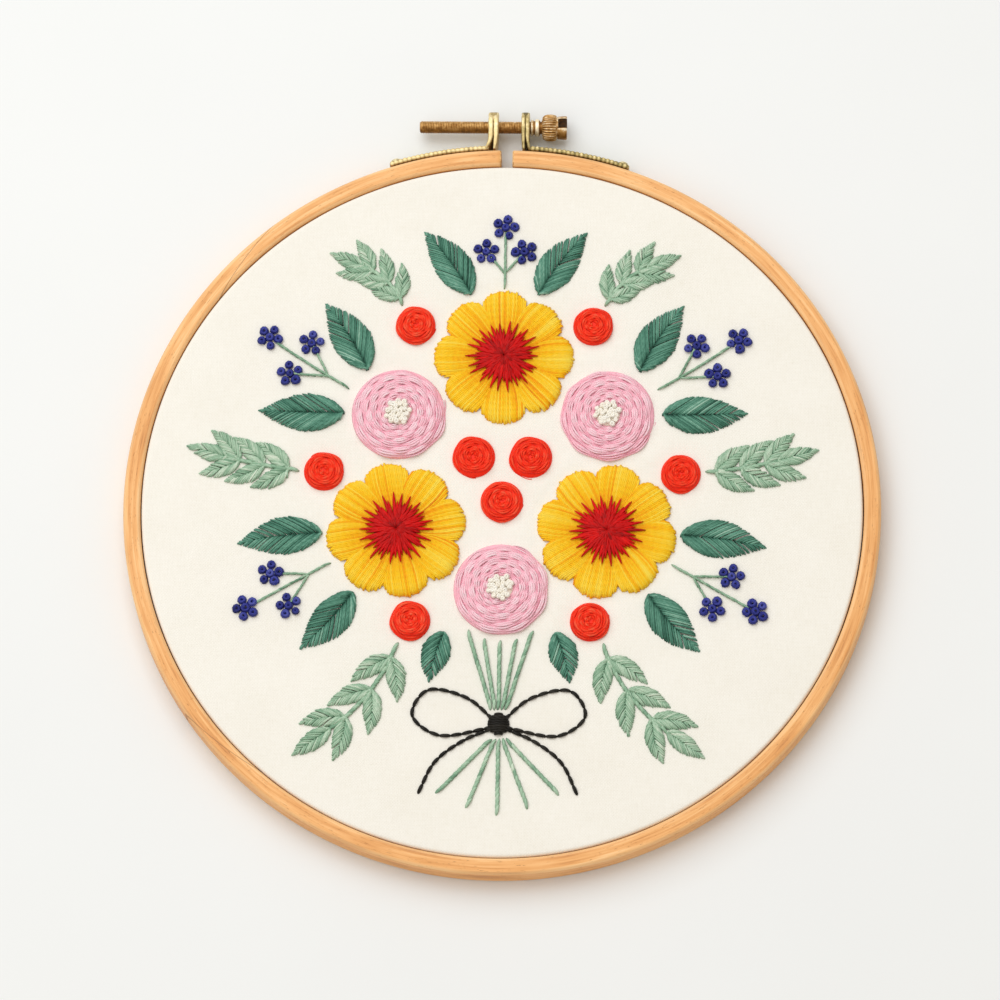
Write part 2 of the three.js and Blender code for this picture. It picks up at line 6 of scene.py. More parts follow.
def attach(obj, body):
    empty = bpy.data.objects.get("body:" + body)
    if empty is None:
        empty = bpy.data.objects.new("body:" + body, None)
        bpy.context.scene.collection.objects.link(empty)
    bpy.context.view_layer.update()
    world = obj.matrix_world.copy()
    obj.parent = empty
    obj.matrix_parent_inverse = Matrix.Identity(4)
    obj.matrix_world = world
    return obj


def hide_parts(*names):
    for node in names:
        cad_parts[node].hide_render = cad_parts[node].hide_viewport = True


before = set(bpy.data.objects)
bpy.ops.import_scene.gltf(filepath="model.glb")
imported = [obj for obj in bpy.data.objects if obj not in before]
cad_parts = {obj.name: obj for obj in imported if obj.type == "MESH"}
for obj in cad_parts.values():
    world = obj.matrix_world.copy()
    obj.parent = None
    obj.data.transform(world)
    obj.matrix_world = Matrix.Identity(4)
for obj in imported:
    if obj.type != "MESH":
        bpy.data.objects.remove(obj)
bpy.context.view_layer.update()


# ------------------------------------------------------------------ table, light and camera
# The hoop lies on its back on a pale matt table top. Daylight comes through a large window at
# the upper left, a broad reflector at the lower left fills the shadows, and the camera looks
# down from the front.

CAMERA_ELEVATION = 72.9
CAMERA_AZIMUTH = 4.9
CAMERA_ROLL = 0.85
CAMERA_DISTANCE = 2.0
CAMERA_LENS = 257.5
AIM_POINT = Vector((-0.0005, -0.0043, 0.0080))
WINDOW_PLACE = (-0.46, 0.78, 1.45)
WINDOW_WIDTH = 1.8
WINDOW_POWER = 22.0
REFLECTOR_PLACE = (-0.75, -0.75, 1.5)
REFLECTOR_WIDTH = 1.5
REFLECTOR_POWER = 4.5
ROOM_LIGHT = 0.54


def paint(code):
    """A colour written as #rrggbb, as linear light with full opacity."""
    share = np.array([int(code[i : i + 2], 16) for i in (1, 3, 5)]) / 255
    linear = np.where(share <= 0.04045, share / 12.92, ((share + 0.055) / 1.055) ** 2.4)
    return (*linear.tolist(), 1.0)


def set_inputs(tree, node, inputs):
    """Each input of a node, as a number, a colour or a link."""
    for key, value in dict(inputs).items():
        if isinstance(value, bpy.types.NodeSocket):
            tree.links.new(value, node.inputs[key])
        else:
            node.inputs[key].default_value = value


def add_node(tree, kind, inputs=(), **settings):
    """A shader node with its settings and inputs."""
    made = tree.nodes.new(kind)
    for key, value in settings.items():
        setattr(made, key, value)
    set_inputs(tree, made, inputs)
    return made


def add_math(tree, operation, *values):
    """The outcome of one sum on numbers or links."""
    return add_node(tree, "ShaderNodeMath", enumerate(values), operation=operation).outputs[0]


def add_ramp(tree, share, *stops):
    """A colour read off a ramp. Each stop is a place from 0 to 1 and a colour code."""
    made = add_node(tree, "ShaderNodeValToRGB", {"Fac": share})
    ramp = made.color_ramp
    while len(ramp.elements) < len(stops):
        ramp.elements.new(0.5)
    for element, (place, code) in zip(ramp.elements, stops):
        element.position = place
        element.color = paint(code)
    return made.outputs["Color"]


def add_grains(tree, vector, scale, stretch=(1, 1, 1), detail=4.0, roughness=0.55):
    """Cloudy grain at a scale in grains per unit, closer along the axes that stretch names."""
    spread = add_node(tree, "ShaderNodeMapping", {"Vector": vector, "Scale": stretch})
    inputs = {"Vector": spread.outputs[0], "Scale": scale}
    inputs |= {"Detail": detail, "Roughness": roughness}
    return add_node(tree, "ShaderNodeTexNoise", inputs).outputs["Fac"]


def add_blend(tree, share, first, second, how="MIX"):
    """Two colours, codes or links, blended by a share."""
    given = [paint(c) if isinstance(c, str) else c for c in (first, second)]
    made = add_node(tree, "ShaderNodeMix", data_type="RGBA", blend_type=how)
    # The colour sockets of a Mix node are its inputs 6 and 7 and its output 2
    set_inputs(tree, made, {0: share, 6: given[0], 7: given[1]})
    return made.outputs[2]


def new_material(name):
    """An empty material, its node tree and its shader."""
    material = bpy.data.materials.new(name)
    material.use_nodes = True
    return material, material.node_tree, material.node_tree.nodes["Principled BSDF"]


def set_bump(tree, shader, height, strength, depth):
    """Relief from a height of 0 to 1, which stands for depth metres."""
    inputs = {"Height": height, "Strength": strength, "Distance": depth}
    bump = add_node(tree, "ShaderNodeBump", inputs)
    tree.links.new(bump.outputs["Normal"], shader.inputs["Normal"])


def add_window(name, place, width, power, colour):
    """A square soft light that looks at the aim point."""
    light = bpy.data.lights.new(name, "AREA")
    light.size = width
    light.energy = power
    light.color = paint(colour)[:3]
    lamp = bpy.data.objects.new(name, light)
    lamp.location = place
    lamp.rotation_euler = (AIM_POINT - Vector(place)).to_track_quat("-Z", "Y").to_euler()
    bpy.context.scene.collection.objects.link(lamp)


def unit(vector):
    """The vector at a length of 1."""
    return vector / np.linalg.norm(vector)


def place_camera():
    """Looks at the aim point, with the screw's axis level in the picture before the roll."""
    elevation, azimuth, roll = np.radians([CAMERA_ELEVATION, CAMERA_AZIMUTH, CAMERA_ROLL])
    level = np.cos(elevation)
    back = np.array([np.sin(azimuth) * level, -np.cos(azimuth) * level, np.sin(elevation)])
    right = unit(np.cross([0, 1, 0], back))
    up = np.cross(back, right)
    turned = (right * np.cos(roll) + up * np.sin(roll), up * np.cos(roll) - right * np.sin(roll))
    camera = bpy.data.objects.new("camera", bpy.data.cameras.new("camera"))
    camera.data.lens = CAMERA_LENS
    camera.data.clip_end = 50
    spot = AIM_POINT + CAMERA_DISTANCE * Vector(back)
    axes = Matrix([Vector(v) for v in (*turned, back)]).transposed().to_4x4()
    camera.matrix_world = Matrix.Translation(spot) @ axes
    bpy.context.scene.collection.objects.link(camera)
    bpy.context.scene.camera = camera


place_camera()
add_window("window", WINDOW_PLACE, WINDOW_WIDTH, WINDOW_POWER, "#f7fcff")
add_window("reflector", REFLECTOR_PLACE, REFLECTOR_WIDTH, REFLECTOR_POWER, "#fffaf2")
world = bpy.data.worlds.new("room")
world.use_nodes = True
room = world.node_tree.nodes["Background"]
set_inputs(world.node_tree, room, {"Color": paint("#fff5ea"), "Strength": ROOM_LIGHT})
bpy.context.scene.world = world
bpy.context.scene.view_settings.view_transform = "Standard"

TABLE_REACH = 4.0
TABLE_DROP = 0.0002
table_mesh = bpy.data.meshes.new("table_top")
table_corners = [(-TABLE_REACH, -TABLE_REACH), (TABLE_REACH, -TABLE_REACH)]
table_corners += [(TABLE_REACH, TABLE_REACH), (-TABLE_REACH, TABLE_REACH)]
table_mesh.from_pydata([(x, y, -TABLE_DROP) for x, y in table_corners], [], [(0, 1, 2, 3)])
table_top = bpy.data.objects.new("table_top", table_mesh)
bpy.context.scene.collection.objects.link(table_top)
table_paint, tree, shader = new_material("pale_table")
here = add_node(tree, "ShaderNodeTexCoord").outputs["Object"]
mottle = add_grains(tree, here, 9.0)
pale = add_ramp(tree, mottle, (0.3, "#edf0f1"), (0.7, "#eff2f3"))
set_inputs(tree, shader, {"Base Color": pale, "Roughness": 0.9, "Specular IOR Level": 0.15})
table_mesh.materials.append(table_paint)


# ------------------------------------------------------------------ outer ring
# A strip of beech steamed round to a hoop, its long edges softened, with a thin glued scarf
# where its plies overlap. It is sawn through at the top, so that the screw can close it.

HOOP_Y = -6.2
RING_DEPTH = 8.0
OUTER_RADIUS = 106.0
OUTER_WALL = 4.8
SLIT_WIDTH = 3.2
EDGE_ROUND = 1.05
SAWN_ROUND = 0.25
RING_STEPS = 420
SCARF_LENGTH = 26.0
SCARF_WIDTH = 0.12
SCARF_PLACES = (399.0, 556.0)


def grid_faces(rows, columns):
    """Quads of a grid that closes on itself along its columns, with both ends filled."""
    i, j = np.meshgrid(np.arange(rows - 1), np.arange(columns), indexing="ij")
    k = (j + 1) % columns
    here, there = i * columns, (i + 1) * columns
    walls = np.stack([here + j, here + k, there + k, there + j], -1)
    rung = np.arange(columns // 2 - 1)
    cap = np.stack([rung, columns - 1 - rung, columns - 2 - rung, rung + 1], -1)
    far = cap[:, ::-1] + (rows - 1) * columns
    return np.concatenate([walls.reshape(-1, 4), cap, far])


def loop_faces(rows, columns):
    """Quads of a grid that closes on itself both ways."""
    i, j = np.meshgrid(np.arange(rows), np.arange(columns), indexing="ij")
    k = (j + 1) % columns
    here, there = i * columns, (i + 1) % rows * columns
    return np.stack([here + j, here + k, there + k, there + j], -1).reshape(-1, 4)


def rounded_section(width, depth, bend, per_corner=5, per_side=4):
    """Points round a rectangle whose corners are quarter circles, about its middle, and a
    number for each that is 1 at the middle of a corner and 0 along the sides."""
    turn = np.radians(np.linspace(0, 90, per_corner))
    angle = turn + np.radians([[0], [90], [180], [270]])
    middle = np.array([[1, 1], [-1, 1], [-1, -1], [1, -1]]) * [width / 2 - bend, depth / 2 - bend]
    corner = middle[:, None] + bend * np.stack([np.cos(angle), np.sin(angle)], -1)
    share = (np.arange(per_side) + 1)[None, :, None] / (per_side + 1)
    side = corner[:, -1:] * (1 - share) + np.roll(corner, -1, 0)[:, :1] * share
    worn = np.concatenate([np.tile(np.sin(2 * turn), (4, 1)), np.zeros((4, per_side))], 1)
    return np.concatenate([corner, side], 1).reshape(-1, 2), worn.ravel()


def around_hoop(radius, angle, height):
    """Points at a radius and a height, (radius * sin, radius * cos, height) of an angle that is
    counted from the slit."""
    return np.stack([radius * np.sin(angle), radius * np.cos(angle), height], -1)


def outward(part):
    """A part, which is points, faces and numbers, with its faces turned outwards: those of a
    part whose volume, the sum of a . (b x c) + a . (c x d), is negative are reversed."""
    points, faces, values = part
    a, b, c, d = (points.reshape(-1, 3)[faces[:, n]] for n in range(4))
    volume = np.einsum("ij,ij->", a, np.cross(b, c)) + np.einsum("ij,ij->", a, np.cross(c, d))
    return points, (faces if volume > 0 else faces[:, ::-1]), values


def add_piece(name, points, faces, materials, crease=None, which=None, **attributes):
    """A mesh from points in millimetres about the hoop's middle and four-cornered faces, all
    turned outwards, with a number or a vector of each attribute for every point."""
    points, faces, _ = outward((np.asarray(points, float).reshape(-1, 3), faces, None))
    mesh = bpy.data.meshes.new(name)
    mesh.vertices.add(len(points))
    placed = (points + [0, HOOP_Y, 0]) / 1000
    mesh.vertices.foreach_set("co", placed.astype(np.float32).ravel())
    mesh.loops.add(faces.size)
    mesh.loops.foreach_set("vertex_index", faces.astype(np.int32).ravel())
    mesh.polygons.add(len(faces))
    mesh.polygons.foreach_set("loop_start", np.arange(0, faces.size, 4, dtype=np.int32))
    mesh.polygons.foreach_set("use_smooth", np.ones(len(faces), bool))
    if which is not None:
        mesh.polygons.foreach_set("material_index", which.astype(np.int32))
    for key, values in attributes.items():
        values = np.asarray(values, np.float32)
        kind = "FLOAT" if values.size == len(points) else "FLOAT_VECTOR"
        data = mesh.attributes.new(key, kind, "POINT").data
        data.foreach_set("value" if kind == "FLOAT" else "vector", values.ravel())
    mesh.update(calc_edges=True)
    if crease is not None:
        mesh.set_sharp_from_angle(angle=np.radians(crease))
    for material in materials:
        mesh.materials.append(material)
    piece = bpy.data.objects.new(name, mesh)
    bpy.context.scene.collection.objects.link(piece)
    return piece


def read_attribute(tree, name, output="Fac"):
    """A mesh attribute, as a number or, from the output Vector, as three."""
    return add_node(tree, "ShaderNodeAttribute", attribute_name=name).outputs[output]


def beech(name, scarf_places=()):
    """Oiled beech. The grain attribute is the way round the ring, the radius and the height, in
    millimetres: streaks and short flecks are drawn out along the first of them."""
    material, tree, shader = new_material(name)
    grain = read_attribute(tree, "grain", "Vector")
    worn = read_attribute(tree, "worn")
    patches = add_grains(tree, grain, 1.0, (0.035, 0.12, 0.12), 2.0)
    streaks = add_grains(tree, grain, 1.0, (0.045, 1.3, 1.3), 6.0, 0.6)
    fine = add_grains(tree, grain, 1.0, (0.25, 6.0, 6.0), 3.0)
    mixed = add_math(tree, "MULTIPLY_ADD", streaks, 0.6, 0.0)
    mixed = add_math(tree, "MULTIPLY_ADD", patches, 0.3, mixed)
    mixed = add_math(tree, "MULTIPLY_ADD", fine, 0.14, mixed)
    tan = add_ramp(
        tree, mixed, (0.37, "#c37f40"), (0.46, "#e4a15a"), (0.56, "#f3b672"), (0.66, "#fccd92")
    )
    flecks = add_grains(tree, grain, 1.0, (0.55, 5.5, 3.2), 1.0)
    dark = add_math(tree, "GREATER_THAN", flecks, 0.71)
    tan = add_blend(tree, add_math(tree, "MULTIPLY", dark, 0.65), tan, "#8f5022")
    # The rounded edges are painted paler: partly wear, partly a painted highlight
    tan = add_blend(tree, add_math(tree, "MULTIPLY", worn, 0.4), tan, "#f8d7a6")
    if scarf_places:
        parts = add_node(tree, "ShaderNodeSeparateXYZ", {"Vector": grain}).outputs
        up = add_math(tree, "SUBTRACT", parts[1], OUTER_RADIUS - OUTER_WALL)
        line = 0.0
        for place in scarf_places:
            gone = add_math(tree, "SUBTRACT", parts[0], place)
            climb = add_math(tree, "MULTIPLY", gone, OUTER_WALL / SCARF_LENGTH)
            away = add_math(tree, "SUBTRACT", climb, up)
            near = add_math(tree, "LESS_THAN", add_math(tree, "ABSOLUTE", away), SCARF_WIDTH)
            line = add_math(tree, "MAXIMUM", near, line)
        tan = add_blend(tree, add_math(tree, "MULTIPLY", line, 0.5), tan, "#7d4a24")
    dull = add_math(tree, "MULTIPLY_ADD", streaks, 0.22, 0.36)
    set_inputs(tree, shader, {"Base Color": tan, "Roughness": dull, "Specular IOR Level": 0.45})
    relief = add_math(tree, "MULTIPLY_ADD", fine, 0.5, streaks)
    set_bump(tree, shader, add_math(tree, "SUBTRACT", relief, dark), 0.35, 0.00012)
    return material


def end_grain():
    """Sawn beech across the grain: paler, dull, with small pores."""
    material, tree, shader = new_material("sawn_beech")
    here = add_node(tree, "ShaderNodeTexCoord").outputs["Object"]
    pores = add_grains(tree, here, 2600.0, (1, 1, 1), 2.0)
    rings = add_grains(tree, here, 500.0, (1, 1, 0.3), 2.0)
    mixed = add_math(tree, "MULTIPLY_ADD", pores, 0.5, add_math(tree, "MULTIPLY", rings, 0.5))
    tan = add_ramp(tree, mixed, (0.38, "#a8733f"), (0.5, "#dba96c"), (0.62, "#efc993"))
    set_inputs(tree, shader, {"Base Color": tan, "Roughness": 0.75})
    set_bump(tree, shader, pores, 0.4, 0.0001)
    return material


def make_outer_ring():
    """A point is the section's point at radius r, turned by an angle from the slit: the angle
    runs from asin(half slit / r) round to the same on the other side, so both ends are flat."""
    section, worn = rounded_section(OUTER_WALL, RING_DEPTH, EDGE_ROUND, 6, 5)
    count = len(section)
    way = np.linspace(0, 1, RING_STEPS)
    inset = np.zeros(RING_STEPS + 2)
    inset[[0, -1]] = SAWN_ROUND
    way = np.concatenate([[0], [0.0006], way[1:-1], [0.9994], [1]])
    size = np.abs(section).max(0)
    shrunk = section[None] * (1 - inset[:, None, None] / size)
    slow = 0.05 * np.sin(7 * way) + 0.04 * np.sin(19 * way + 1) + 0.025 * np.sin(43 * way + 2)
    radius = OUTER_RADIUS - OUTER_WALL / 2 + shrunk[..., 0] + slow[:, None] * 0.6
    height = RING_DEPTH / 2 + shrunk[..., 1] * (1 + 0.004 * np.sin(11 * way))[:, None]
    start = np.arcsin(SLIT_WIDTH / 2 / radius)
    angle = start + way[:, None] * (2 * np.pi - 2 * start)
    points = around_hoop(radius, angle, height)
    grain = np.stack([angle * (OUTER_RADIUS - OUTER_WALL / 2), radius, height], -1)
    faces = grid_faces(len(way), count)
    which = (np.arange(len(faces)) >= (len(way) - 1) * count).astype(int)
    which[:count] = which[(len(way) - 2) * count : (len(way) - 1) * count] = 1
    woods = [beech("beech_outer", SCARF_PLACES), end_grain()]
    edges = np.tile(worn, len(way))
    return add_piece("outer_ring_beech", points, faces, woods, 50, which, grain=grain, worn=edges)


outer_ring = make_outer_ring()
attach(outer_ring, "hoop")
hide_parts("outer_ring")


# ------------------------------------------------------------------ inner ring
# The plain closed ring that the cloth is drawn over, of the same beech and a little shallower.
# It shows only from behind, inside the cloth's turned-down edge.

INNER_RADIUS = 99.6
INNER_WALL = 4.4
INNER_DEPTH = 6.3
INNER_ROUND = 0.9


def make_inner_ring():
    """The rounded section turned once round the hoop's axis."""
    section, worn = rounded_section(INNER_WALL, INNER_DEPTH, INNER_ROUND, 5, 3)
    angle = np.linspace(0, 2 * np.pi, RING_STEPS, endpoint=False)[:, None]
    radius = INNER_RADIUS - INNER_WALL / 2 + section[:, 0] + 0.04 * np.sin(3 * angle)
    height = INNER_DEPTH / 2 + section[:, 1] + 0 * angle
    points = around_hoop(radius, angle, height)
    grain = np.stack([angle * INNER_RADIUS + 0 * radius, radius + 40, height], -1)
    faces = loop_faces(RING_STEPS, len(section))
    edges = np.tile(worn, RING_STEPS)
    woods = [beech("beech_inner")]
    return add_piece("inner_ring_beech", points, faces, woods, grain=grain, worn=edges)


inner_ring = make_inner_ring()
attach(inner_ring, "hoop")
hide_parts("inner_ring")


# ------------------------------------------------------------------ cloth
# One round of cream plain-weave cotton, drawn drum-tight over the inner ring and turned down
# between the two rings. The stitching pulls shallow dimples into it round each flower.

CLOTH_TOP = 7.6
CLOTH_THICK = 1.0
CLOTH_RADIUS = 100.9
CLOTH_FOOT = 0.4
FOLD_ROUND = 1.0
CLOTH_COLUMNS = 300
THREAD_PITCH = 0.44
DIMPLE_DEPTH = 0.16
# Middles of the flowers, with each daisy's turn in degrees and each bud's radius
DAISIES = [(0.0, 44.0, 0.0), (-29.4, -7.0, 11.0), (29.4, -7.0, -11.0)]
ROSES = [(-29.4, 27.0), (29.4, 27.0), (0.0, -24.0)]
BUDS = [
    (8, 14.5, 6.4), (-8, 14.5, 6.4), (0, 1.5, 6.4), (25, 53.3, 6), (-25, 53.3, 6),
    (50, 10, 6), (-50, 10, 6), (25, -33.3, 6), (-25, -33.3, 6),
]
DAISY_RADIUS = 19.5
ROSE_RADIUS = 14.0


def cloth_sag(x, y):
    """How far the taut cloth lies off the flat: slow waves, and a dimple along the edge of
    each flower that falls off as exp(-(distance / 2 mm) squared)."""
    sag = 0.05 * np.sin(x / 17 + y / 31) + 0.05 * np.sin(y / 13 - x / 41 + 1)
    sag = sag + 0.02 * np.sin(x / 5.3 + y / 9.1) * np.sin(y / 6.7)
    rims = [(cx, cy, DAISY_RADIUS) for cx, cy, _ in DAISIES]
    rims += [(cx, cy, ROSE_RADIUS) for cx, cy in ROSES] + list(BUDS)
    for cx, cy, radius in rims:
        beyond = np.hypot(x - cx, y - cy) - radius - 0.5
        sag = sag - DIMPLE_DEPTH * np.exp(-((beyond / 2.0) ** 2))
    edge = np.clip((CLOTH_RADIUS - 4 - np.hypot(x, y)) / 12, 0, 1)
    return sag * edge


def make_cloth():
    """A closed profile of radius and height, turned round the hoop's axis: the flat face, a
    quarter circle over the ring, the turned-down edge, its foot, and the same again inside."""
    top, under = CLOTH_TOP, CLOTH_TOP - CLOTH_THICK
    inside = CLOTH_RADIUS - CLOTH_THICK
    out = np.concatenate([[0.8], np.linspace(2, CLOTH_RADIUS - FOLD_ROUND, 100)])
    turn = np.radians(np.linspace(90, 0, 7))
    over_r = CLOTH_RADIUS - FOLD_ROUND + FOLD_ROUND * np.cos(turn)
    over_z = top - FOLD_ROUND + FOLD_ROUND * np.sin(turn)
    down = np.linspace(top - FOLD_ROUND, CLOTH_FOOT, 9)
    back_turn = np.radians(np.linspace(0, 90, 5))
    small = FOLD_ROUND - 0.8
    round_r = inside - small + small * np.cos(back_turn)
    round_z = under - small + small * np.sin(back_turn)
    home = np.concatenate([np.linspace(inside - small, 2, 60), [0.8]])
    radius = np.concatenate([out, over_r[1:], 0 * down[1:] + CLOTH_RADIUS, [CLOTH_RADIUS - 0.5]])
    height = np.concatenate([0 * out + top, over_z[1:], down[1:], [CLOTH_FOOT - 0.12]])
    radius = np.concatenate([radius, 0 * down + inside, round_r[1:], home[1:]])
    height = np.concatenate([height, down[::-1] * 0.93 + 0.02, round_z[1:], 0 * home[1:] + under])
    step = np.hypot(np.diff(radius), np.diff(height))
    flat = np.concatenate([[radius[0]], radius[0] + np.cumsum(step)])
    rim = np.argmin(height)
    flat = np.where(np.arange(len(flat)) > rim, 2 * flat[rim] - flat, flat)
    angle = np.linspace(0, 2 * np.pi, CLOTH_COLUMNS, endpoint=False)
    x, y = radius[:, None] * np.sin(angle), radius[:, None] * np.cos(angle)
    ruck = 0.06 * np.sin(41 * angle) * np.sin(17 * angle + 1)
    low = np.clip((top - 2 - height) / 6, 0, 1)[:, None]
    drawn_in = 1 - low * (0.04 + ruck) / CLOTH_RADIUS
    x, y = x * drawn_in, y * drawn_in
    z = height[:, None] + cloth_sag(x, y)
    weave = np.stack([flat[:, None] * np.sin(angle), flat[:, None] * np.cos(angle), 0 * x], -1)
    faces = grid_faces(len(radius), CLOTH_COLUMNS)
    return add_piece("cotton_cloth", np.stack([x, y, z], -1), faces, [cotton()], weave=weave)


def cotton():
    """Plain weave: two sets of threads, each a row of sine humps, that pass over and under in
    turn. The weave attribute is the place on the flat cloth, in millimetres."""
    material, tree, shader = new_material("cream_cotton")
    weave = read_attribute(tree, "weave", "Vector")
    drift = add_node(tree, "ShaderNodeTexNoise", {"Vector": weave, "Scale": 0.35, "Detail": 2.0})
    halved = {0: drift.outputs["Color"], 1: (0.5, 0.5, 0)}
    aside = add_node(tree, "ShaderNodeVectorMath", halved, operation="MULTIPLY").outputs[0]
    moved = add_node(tree, "ShaderNodeVectorMath", {0: weave, 1: aside}, operation="ADD").outputs[0]
    parts = add_node(tree, "ShaderNodeSeparateXYZ", {"Vector": moved}).outputs
    phases = [add_math(tree, "MULTIPLY", parts[n], np.pi / THREAD_PITCH) for n in (0, 1)]
    humps = [add_math(tree, "SINE", phase) for phase in phases]
    shifts = [add_math(tree, "COSINE", phase) for phase in phases]
    across = add_math(tree, "MULTIPLY", add_math(tree, "ABSOLUTE", humps[0]), shifts[1])
    along = add_math(tree, "MULTIPLY", add_math(tree, "ABSOLUTE", humps[1]), shifts[0])
    threads = add_math(tree, "ABSOLUTE", add_math(tree, "ADD", across, along))
    slubs = add_grains(tree, weave, 1.0, (0.25, 2.2, 1), 2.0)
    slubs = add_math(tree, "ADD", slubs, add_grains(tree, weave, 1.0, (2.2, 0.25, 1), 2.0))
    cloudy = add_grains(tree, weave, 0.05, (1, 1, 1), 3.0)
    share = add_math(tree, "MULTIPLY_ADD", threads, 0.22, add_math(tree, "MULTIPLY", slubs, 0.3))
    share = add_math(tree, "MULTIPLY_ADD", cloudy, 0.35, share)
    cream = add_ramp(tree, share, (0.3, "#e9e5d8"), (0.55, "#f2efe6"), (0.8, "#f7f5ee"))
    set_inputs(tree, shader, {"Base Color": cream, "Roughness": 0.9})
    set_inputs(tree, shader, {"Specular IOR Level": 0.2, "Sheen Weight": 0.15})
    relief = add_math(tree, "MULTIPLY_ADD", slubs, 0.25, threads)
    set_bump(tree, shader, relief, 0.35, 0.00009)
    return material


cloth = make_cloth()
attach(cloth, "hoop")
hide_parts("cloth")


# ------------------------------------------------------------------ brackets
# Two strips of thin brass, embossed with cross ribs and bent along the ring. Beside the slit
# each is folded up and back on itself into a lug with a round top and a hole for the screw.

SCREW_Y = 114.0
MID_Z = RING_DEPTH / 2
HOLE_RADIUS = 2.05
LUG_RADIUS = 3.95
LUG_CROWN = 0.4
LUG_PARTING = 3.0
STRIP_RADIUS = 106.3
STRIP_THICK = 1.0
STRIP_WIDTH = 7.0
RIB_RISE = 0.42
RIB_PITCH_DEG = 0.68
LUG_FEET = (106.45, 106.6)
# Near and far side of the lug, far end of its strip in degrees, and how far its foot splays
LUGS = {"left": (-2.5, -5.4, -18.1, 1.3), "right": (4.0, 6.3, 18.9, 0.6)}


def brass(name, *stops, metallic=0.6):
    """Drawn brass with stains of its own, made brighter by a per-point attribute that is about 0
    in the hollows, 1 on the crests and more on highlights. That attribute is mostly painted
    light and shade: painted highlights on crests, collars and the tops of parts, painted shade
    in grooves, necks, slots and on undersides, with some rubbed wear on the crests."""
    material, tree, shader = new_material(name)
    here = add_node(tree, "ShaderNodeTexCoord").outputs["Object"]
    raised = read_attribute(tree, "raised")
    stains = add_grains(tree, here, 700.0, (1, 1, 1), 4.0, 0.6)
    scratches = add_grains(tree, here, 900.0, (0.2, 3.0, 3.0), 3.0)
    share = add_math(tree, "MULTIPLY_ADD", stains, 1.1, -0.28)
    # Painted light and shade, with some wear, brightens or darkens the brass point by point
    share = add_math(tree, "MULTIPLY_ADD", raised, 0.6, share)
    colour = add_ramp(tree, share, *zip((0.15, 0.5, 0.8, 1.0), stops))
    dull = add_math(tree, "MULTIPLY_ADD", stains, 0.3, 0.22)
    dull = add_math(tree, "MULTIPLY_ADD", scratches, 0.12, dull)
    set_inputs(tree, shader, {"Base Color": colour, "Metallic": metallic, "Roughness": dull})
    set_bump(tree, shader, scratches, 0.2, 0.00004)
    return material


def ribbed_strip(start, end):
    """A flat section carried round the ring between two angles. Its outer side is lifted by
    rib * |cos| ^ 0.8, a row of round-topped ribs of uneven wear, and its ends are drawn in."""
    section, _ = rounded_section(STRIP_THICK, STRIP_WIDTH, 0.3, 4, 7)
    steps = int(abs(end - start) / RIB_PITCH_DEG * 10)
    degrees = np.linspace(start, end, steps)
    share = np.linspace(0, 1, steps)
    ends = np.sqrt(np.clip(np.minimum(share, 1 - share) * steps / 5, 0, 1))
    crest = np.abs(np.cos(np.pi * (degrees - start) / RIB_PITCH_DEG)) ** 0.8
    outer = np.clip(section[:, 0] / STRIP_THICK + 0.5, 0, 1)
    middle = np.clip((STRIP_WIDTH / 2 - np.abs(section[:, 1])) / 0.5, 0.8, 1)
    crest = crest * (0.85 + 0.15 * np.sin(2.3 * degrees) * np.sin(5.1 * degrees))
    rise = RIB_RISE * crest[:, None] * outer * middle
    radius = STRIP_RADIUS + STRIP_THICK / 2 + section[:, 0] * (0.4 + 0.6 * ends[:, None]) + rise
    height = MID_Z + section[:, 1] * (0.92 + 0.08 * ends[:, None])
    angle = np.radians(degrees)[:, None]
    points = around_hoop(radius, angle, height)
    # Painted highlight on the rib crests, partly rubbed wear, and painted shade on the side against
    # the ring
    raised = np.clip(0.9 * crest[:, None] + 0.2 * section[:, 0] + 0 * rise, 0, 1)
    return points, grid_faces(steps, len(section)), raised


def lug_leaf(middle, thick, lean, foot):
    """One leaf of a lug: a plate with a hole. Round the screw's axis its outline is a circle
    above and runs down to a straight foot below. Its section, between the hole and the
    outline, is a rounded rectangle, so the whole surface closes on itself both ways. Below
    the parting the leaf bends aside by lean * (way down) ^ 2.2 and grows thinner."""
    count = 96
    angle = np.linspace(0, 2 * np.pi, count, endpoint=False)[:, None]
    sine, cosine = np.sin(angle), np.cos(angle)
    drop = SCREW_Y - foot
    above = LUG_CROWN * sine + np.sqrt(LUG_RADIUS**2 - (LUG_CROWN * cosine) ** 2)
    below = np.minimum(drop / np.maximum(-sine, 1e-3), LUG_RADIUS / np.maximum(abs(cosine), 1e-3))
    reach = np.where(sine > 0, above, np.maximum(below, LUG_RADIUS * 0.9))
    section, _ = rounded_section(1.0, 1.0, 0.22, 4, 3)
    far = HOLE_RADIUS + (reach - HOLE_RADIUS) * (section[:, 0] + 0.5)
    y, z = SCREW_Y + far * sine, MID_Z + far * cosine
    way = np.clip((SCREW_Y - LUG_PARTING - y) / (drop - LUG_PARTING), 0, 1)
    wear = 0.06 * np.sin(1.9 * y + 3 * middle) + 0.05 * np.sin(4.3 * y + middle)
    x = middle + thick * section[:, 1] * (1 - 0.3 * way) + lean * way**2.2 + wear * section[:, 1]
    # Painted light: the leaf is painted lighter towards its top, and a painted shadow darkens it
    # under the fold, above the screw
    shadow = 0.25 * np.clip((y - SCREW_Y - 2.4) / 2, 0, 1)
    raised = 0.5 + 0.4 * np.clip((y - foot) / 9, 0, 1) - shadow
    return np.stack([x, y, z], -1), loop_faces(count, len(section)), raised + 0 * x


